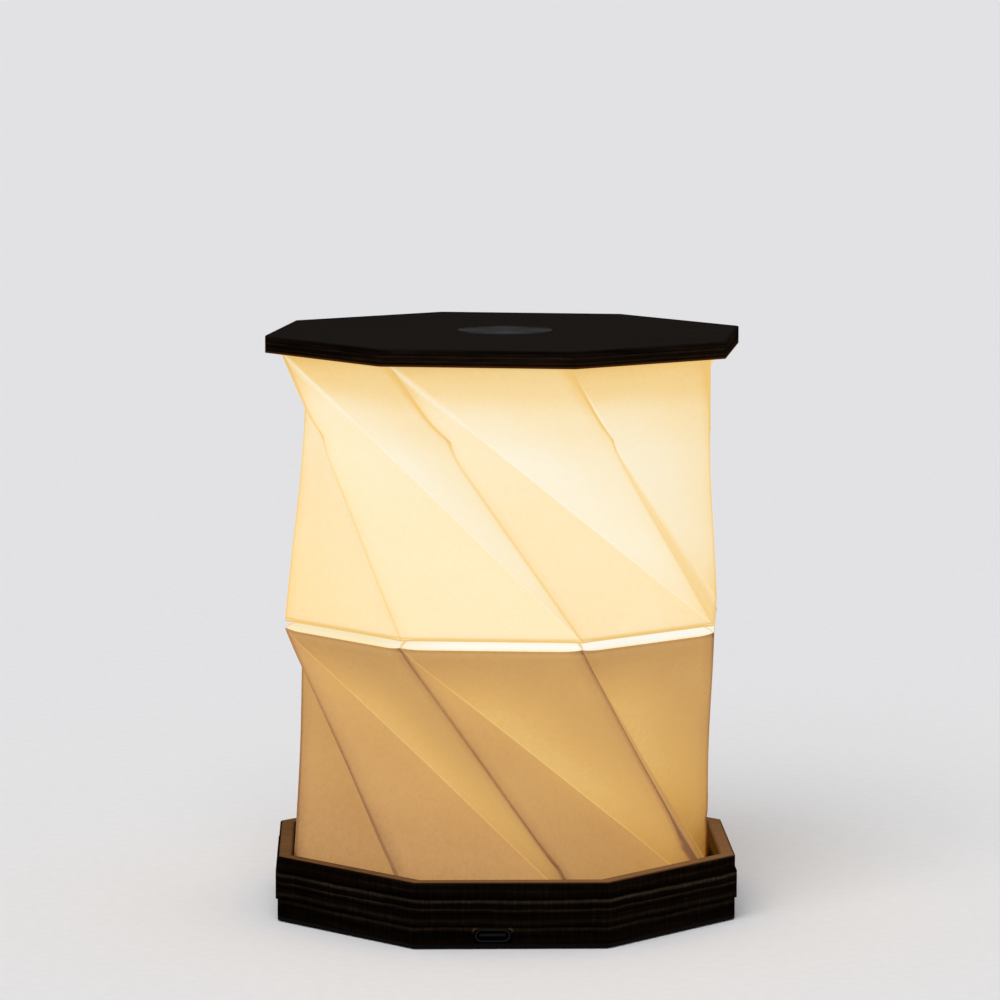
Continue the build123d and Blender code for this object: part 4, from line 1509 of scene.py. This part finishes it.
@dataclass
class InnerLead:
    """The thin lead inside the shade, from the base up to the lid, coiled so that it can close."""

    radius: float = 0.0008
    side: float = 0.00479
    socket_y: float = -0.03085
    foot_height: float = 0.00485
    split: float = FOOT_Z
    rise_top: float = 0.0125
    coil_radius: float = 0.0185
    low: float = 0.017
    high: float = 0.1366
    turns: int = 5
    start_turn: float = -106.0
    end_turn: float = -76.0
    steps_per_turn: int = 14
    drop_foot: float = 0.1408
    plug_height: float = 0.14655

    def sweep(self, name: str, points: Sequence[Point]) -> Piece:
        """Runs a round section along a smooth line.

        Args:
            name: The piece's name.
            points: Control points, in metres.

        Returns:
            The lead as a mesh.
        """
        curve = bpy.data.curves.new(name, "CURVE")
        curve.dimensions = "3D"
        curve.bevel_depth = self.radius
        curve.bevel_resolution = 2
        curve.use_fill_caps = True
        curve.resolution_u = 5
        spline = curve.splines.new("NURBS")
        spline.points.add(len(points) - 1)
        for point, place in zip(spline.points, points):
            point.co = (*place, 1.0)
        spline.order_u = 3
        spline.use_endpoint_u = True
        piece = bpy.data.objects.new(name, curve)
        bpy.context.scene.collection.objects.link(piece)
        Workbench.take(piece)
        bpy.ops.object.convert(target="MESH")
        return bpy.context.object

    def build(self, paints: Paints) -> List[Piece]:
        """Builds the lead's still foot and its coil.

        Args:
            paints: The finishes.

        Returns:
            The foot and the coil.
        """
        back = -self.coil_radius
        foot = self.sweep("inner_lead_foot", [
            (-self.side, self.socket_y, self.foot_height), (-self.side, -0.027, self.foot_height),
            (-self.side, back - 0.003, self.foot_height), (-self.side, back, self.foot_height),
            (-self.side, back, self.foot_height + 0.0012), (-self.side, back, self.split)])
        steps = self.steps_per_turn * self.turns
        start, end = math.radians(self.start_turn), math.radians(self.end_turn)
        sweep = end - start + math.tau * self.turns
        points: List[Point] = [(-self.side, back, self.split), (-self.side, back, self.rise_top)]
        for step in range(steps + 1):
            share = step / steps
            angle = start + sweep * share
            points.append((self.coil_radius * math.cos(angle), self.coil_radius * math.sin(angle),
                           self.low + (self.high - self.low) * share))
        points += [(self.side, back, self.drop_foot), (self.side, back, self.plug_height)]
        coil = self.sweep("inner_lead_coil", points)
        for piece in (foot, coil):
            Workbench.shade(piece, 60.0)
            paints.paint(piece, paints.finishes["lead_sheath"])
            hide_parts("inner_lead")
            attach(piece, Body.BASE.value)
        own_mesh(coil)
        return [foot, coil]


@dataclass
class TouchPlate:
    """The turned metal plate in the middle of the lid."""

    radius: float = 0.0126
    bottom: float = 0.15165
    top: float = 0.1534
    segments: int = 128
    edge: float = 0.0002
    lip: float = 0.0004
    step_taper: float = 0.99
    step_depth: float = 0.00006
    dish_steps: int = 5
    dish_step: float = 0.0021
    dish_drop: float = 0.000012

    def build(self, paints: Paints) -> Piece:
        """Turns the plate with a broken edge and a shallow dished face.

        Args:
            paints: The finishes.

        Returns:
            The plate.
        """
        Workbench.clear()
        bpy.ops.mesh.primitive_cylinder_add(
            vertices=self.segments, radius=self.radius, depth=self.top - self.bottom,
            location=(0, 0, (self.top + self.bottom) / 2))
        piece = Workbench.name("touch_plate")
        Workbench.settle(piece)
        top = self.top
        with Workbench.editing(piece, "FACE"):
            Workbench.pick(piece, "faces", lambda f: f.normal.z > 0.9
                           and f.calc_center_median().z > top - SAME_PLACE)
            Workbench.lift(-self.edge)
            bpy.ops.mesh.extrude_region_move()
            Workbench.widen((self.radius - self.edge) / self.radius)
            Workbench.lift(self.edge)
            bpy.ops.mesh.inset(thickness=self.lip)
            bpy.ops.mesh.extrude_region_move()
            Workbench.widen(self.step_taper)
            Workbench.lift(-self.step_depth)
            for _ in range(self.dish_steps):
                bpy.ops.mesh.inset(thickness=self.dish_step)
                Workbench.lift(-self.dish_drop)
        Workbench.shade(piece, 20.0)
        paints.paint(piece, paints.finishes["spun_aluminium"])
        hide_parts("touch_disc")
        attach(piece, Body.LID.value)
        return piece


@dataclass
class Studio:
    """The plain floor, the soft light and the camera of the photograph."""

    place: Point = (-0.03876, -1.20925, 0.25402)
    pitch: float = 6.876
    yaw: float = -1.777
    roll: float = 0.158
    focal_pixels: float = 4600.0
    picture_pixels: float = 1000.0
    sensor: float = 36.0
    sky: float = 0.5
    sun: float = 2.0
    sun_spread: float = 50.0
    sun_tilt: Tuple[float, float] = (38.0, -16.0)
    pale: Rgba = screen(229, 229, 231)

    def camera(self) -> Piece:
        """Stands the camera where the photograph was taken.

        Returns:
            The camera.
        """
        data = bpy.data.cameras.new("camera")
        data.sensor_width = self.sensor
        data.lens = self.focal_pixels * self.sensor / self.picture_pixels
        data.clip_start, data.clip_end = 0.01, 200.0
        camera = bpy.data.objects.new("camera", data)
        bpy.context.scene.collection.objects.link(camera)
        turn = Euler((math.radians(90.0 - self.pitch), 0.0, math.radians(self.yaw)), "XYZ")
        view = turn.to_matrix() @ Matrix.Rotation(math.radians(self.roll), 3, "Z")
        camera.matrix_world = Matrix.Translation(self.place) @ view.to_4x4()
        bpy.context.scene.camera = camera
        return camera

    def floor(self) -> Piece:
        """Lays the pale floor.

        Returns:
            The floor.
        """
        Workbench.clear()
        bpy.ops.mesh.primitive_circle_add(vertices=64, radius=60.0, fill_type="NGON")
        floor = Workbench.name("studio_floor")
        material = bpy.data.materials.new("studio_floor")
        material.use_nodes = True
        w = Wiring(material.node_tree)
        shader = w.add("BsdfPrincipled")
        w.set(w.add("OutputMaterial"), Surface=shader.outputs[0])
        grain = w.noise(w.add("TexCoord").outputs["Object"], 300.0, 2.0)
        w.set(shader, Roughness=0.9, Specular_IOR_Level=0.1, Base_Color=w.ramp(
            grain, ((0.3, screen(226, 226, 228)), (0.7, self.pale))))
        floor.data.materials.append(material)
        return floor

    def light(self) -> None:
        """Lights the room with a pale sky and one large soft sun."""
        world = bpy.data.worlds.new("studio_sky")
        bpy.context.scene.world = world
        world.use_nodes = True
        w = Wiring(world.node_tree)
        plain, seen = w.add("Background"), w.add("Background")
        w.set(plain, Color=grey(1.0), Strength=self.sky)
        w.set(seen, Color=self.pale)
        path = w.add("LightPath")
        direct = w.math("MAXIMUM", path.outputs["Is Camera Ray"], w.math(
            "MAXIMUM", path.outputs["Is Glossy Ray"], path.outputs["Is Transmission Ray"]))
        w.set(w.add("OutputWorld"), Surface=w.fed(
            w.add("MixShader"), direct, plain.outputs[0], seen.outputs[0]))
        data = bpy.data.lights.new("soft_sun", "SUN")
        data.energy = self.sun
        data.angle = math.radians(self.sun_spread)
        sun = bpy.data.objects.new("soft_sun", data)
        tilt, lean = self.sun_tilt
        sun.rotation_euler = Euler((math.radians(tilt), math.radians(lean), 0.0))
        bpy.context.scene.collection.objects.link(sun)

    def settle(self) -> None:
        """Sets the plain view transform."""
        bpy.context.scene.view_settings.view_transform = "Standard"


def main() -> None:
    """Builds the studio, then dresses the lamp piece by piece."""
    logging.basicConfig(level=logging.INFO, format="%(name)s: %(message)s")
    studio = Studio()
    studio.settle()
    studio.camera()
    studio.light()
    studio.floor()
    paints = Paints(Effects())
    paints.paint_nodes()
    # The panel levels listed for each storey are painted light and shade on those panels.
    storeys = (
        PaperStorey(Storey.LOWER, Body.BASE, "lower_fold", top=LOWER_TOP_Z, bottom=0.0055,
                    top_turn=MIDDLE_TURN, bottom_turn=FOOT_TURN, anchor=FOOT_Z, keep=0.0434,
                    bottom_flats=0.1114, trim=FOOT_Z, kink_share=0.79, kink_side=0.0010,
                    kink_in=0.0003, kink_reach=0.008, wide_kinks={6: 0.016},
                    kink_sizes=(0.7, 0.9, 0.6, 0.15, 0.45, 0.8, -1.7, 0.9), slack=0.011,
                    slack_share=0.5, pinch_top=0.0005, tone_and_light={12: -0.02, 13: -0.06}),
        PaperStorey(Storey.UPPER, Body.LID, "upper_fold", top=UPPER_TOP_Z, bottom=UPPER_FOOT_Z,
                    top_turn=LID_TURN, bottom_turn=MIDDLE_TURN, anchor=UPPER_TOP_Z, keep=0.0625,
                    pinch_bottom=-0.0001,
                    tone_and_light={6: -0.06, 7: -0.02, 10: -0.09, 11: 0.02, 12: 0.0, 13: -0.1}),
    )
    pieces = [maker.build(paints) for maker in (*storeys, WaistPleat(), TouchPlate())]
    for piece in pieces + InnerLead().build(paints):
        log.info("%s: %d faces", piece.name, len(piece.data.polygons))


if __name__ == "__main__":
    main()
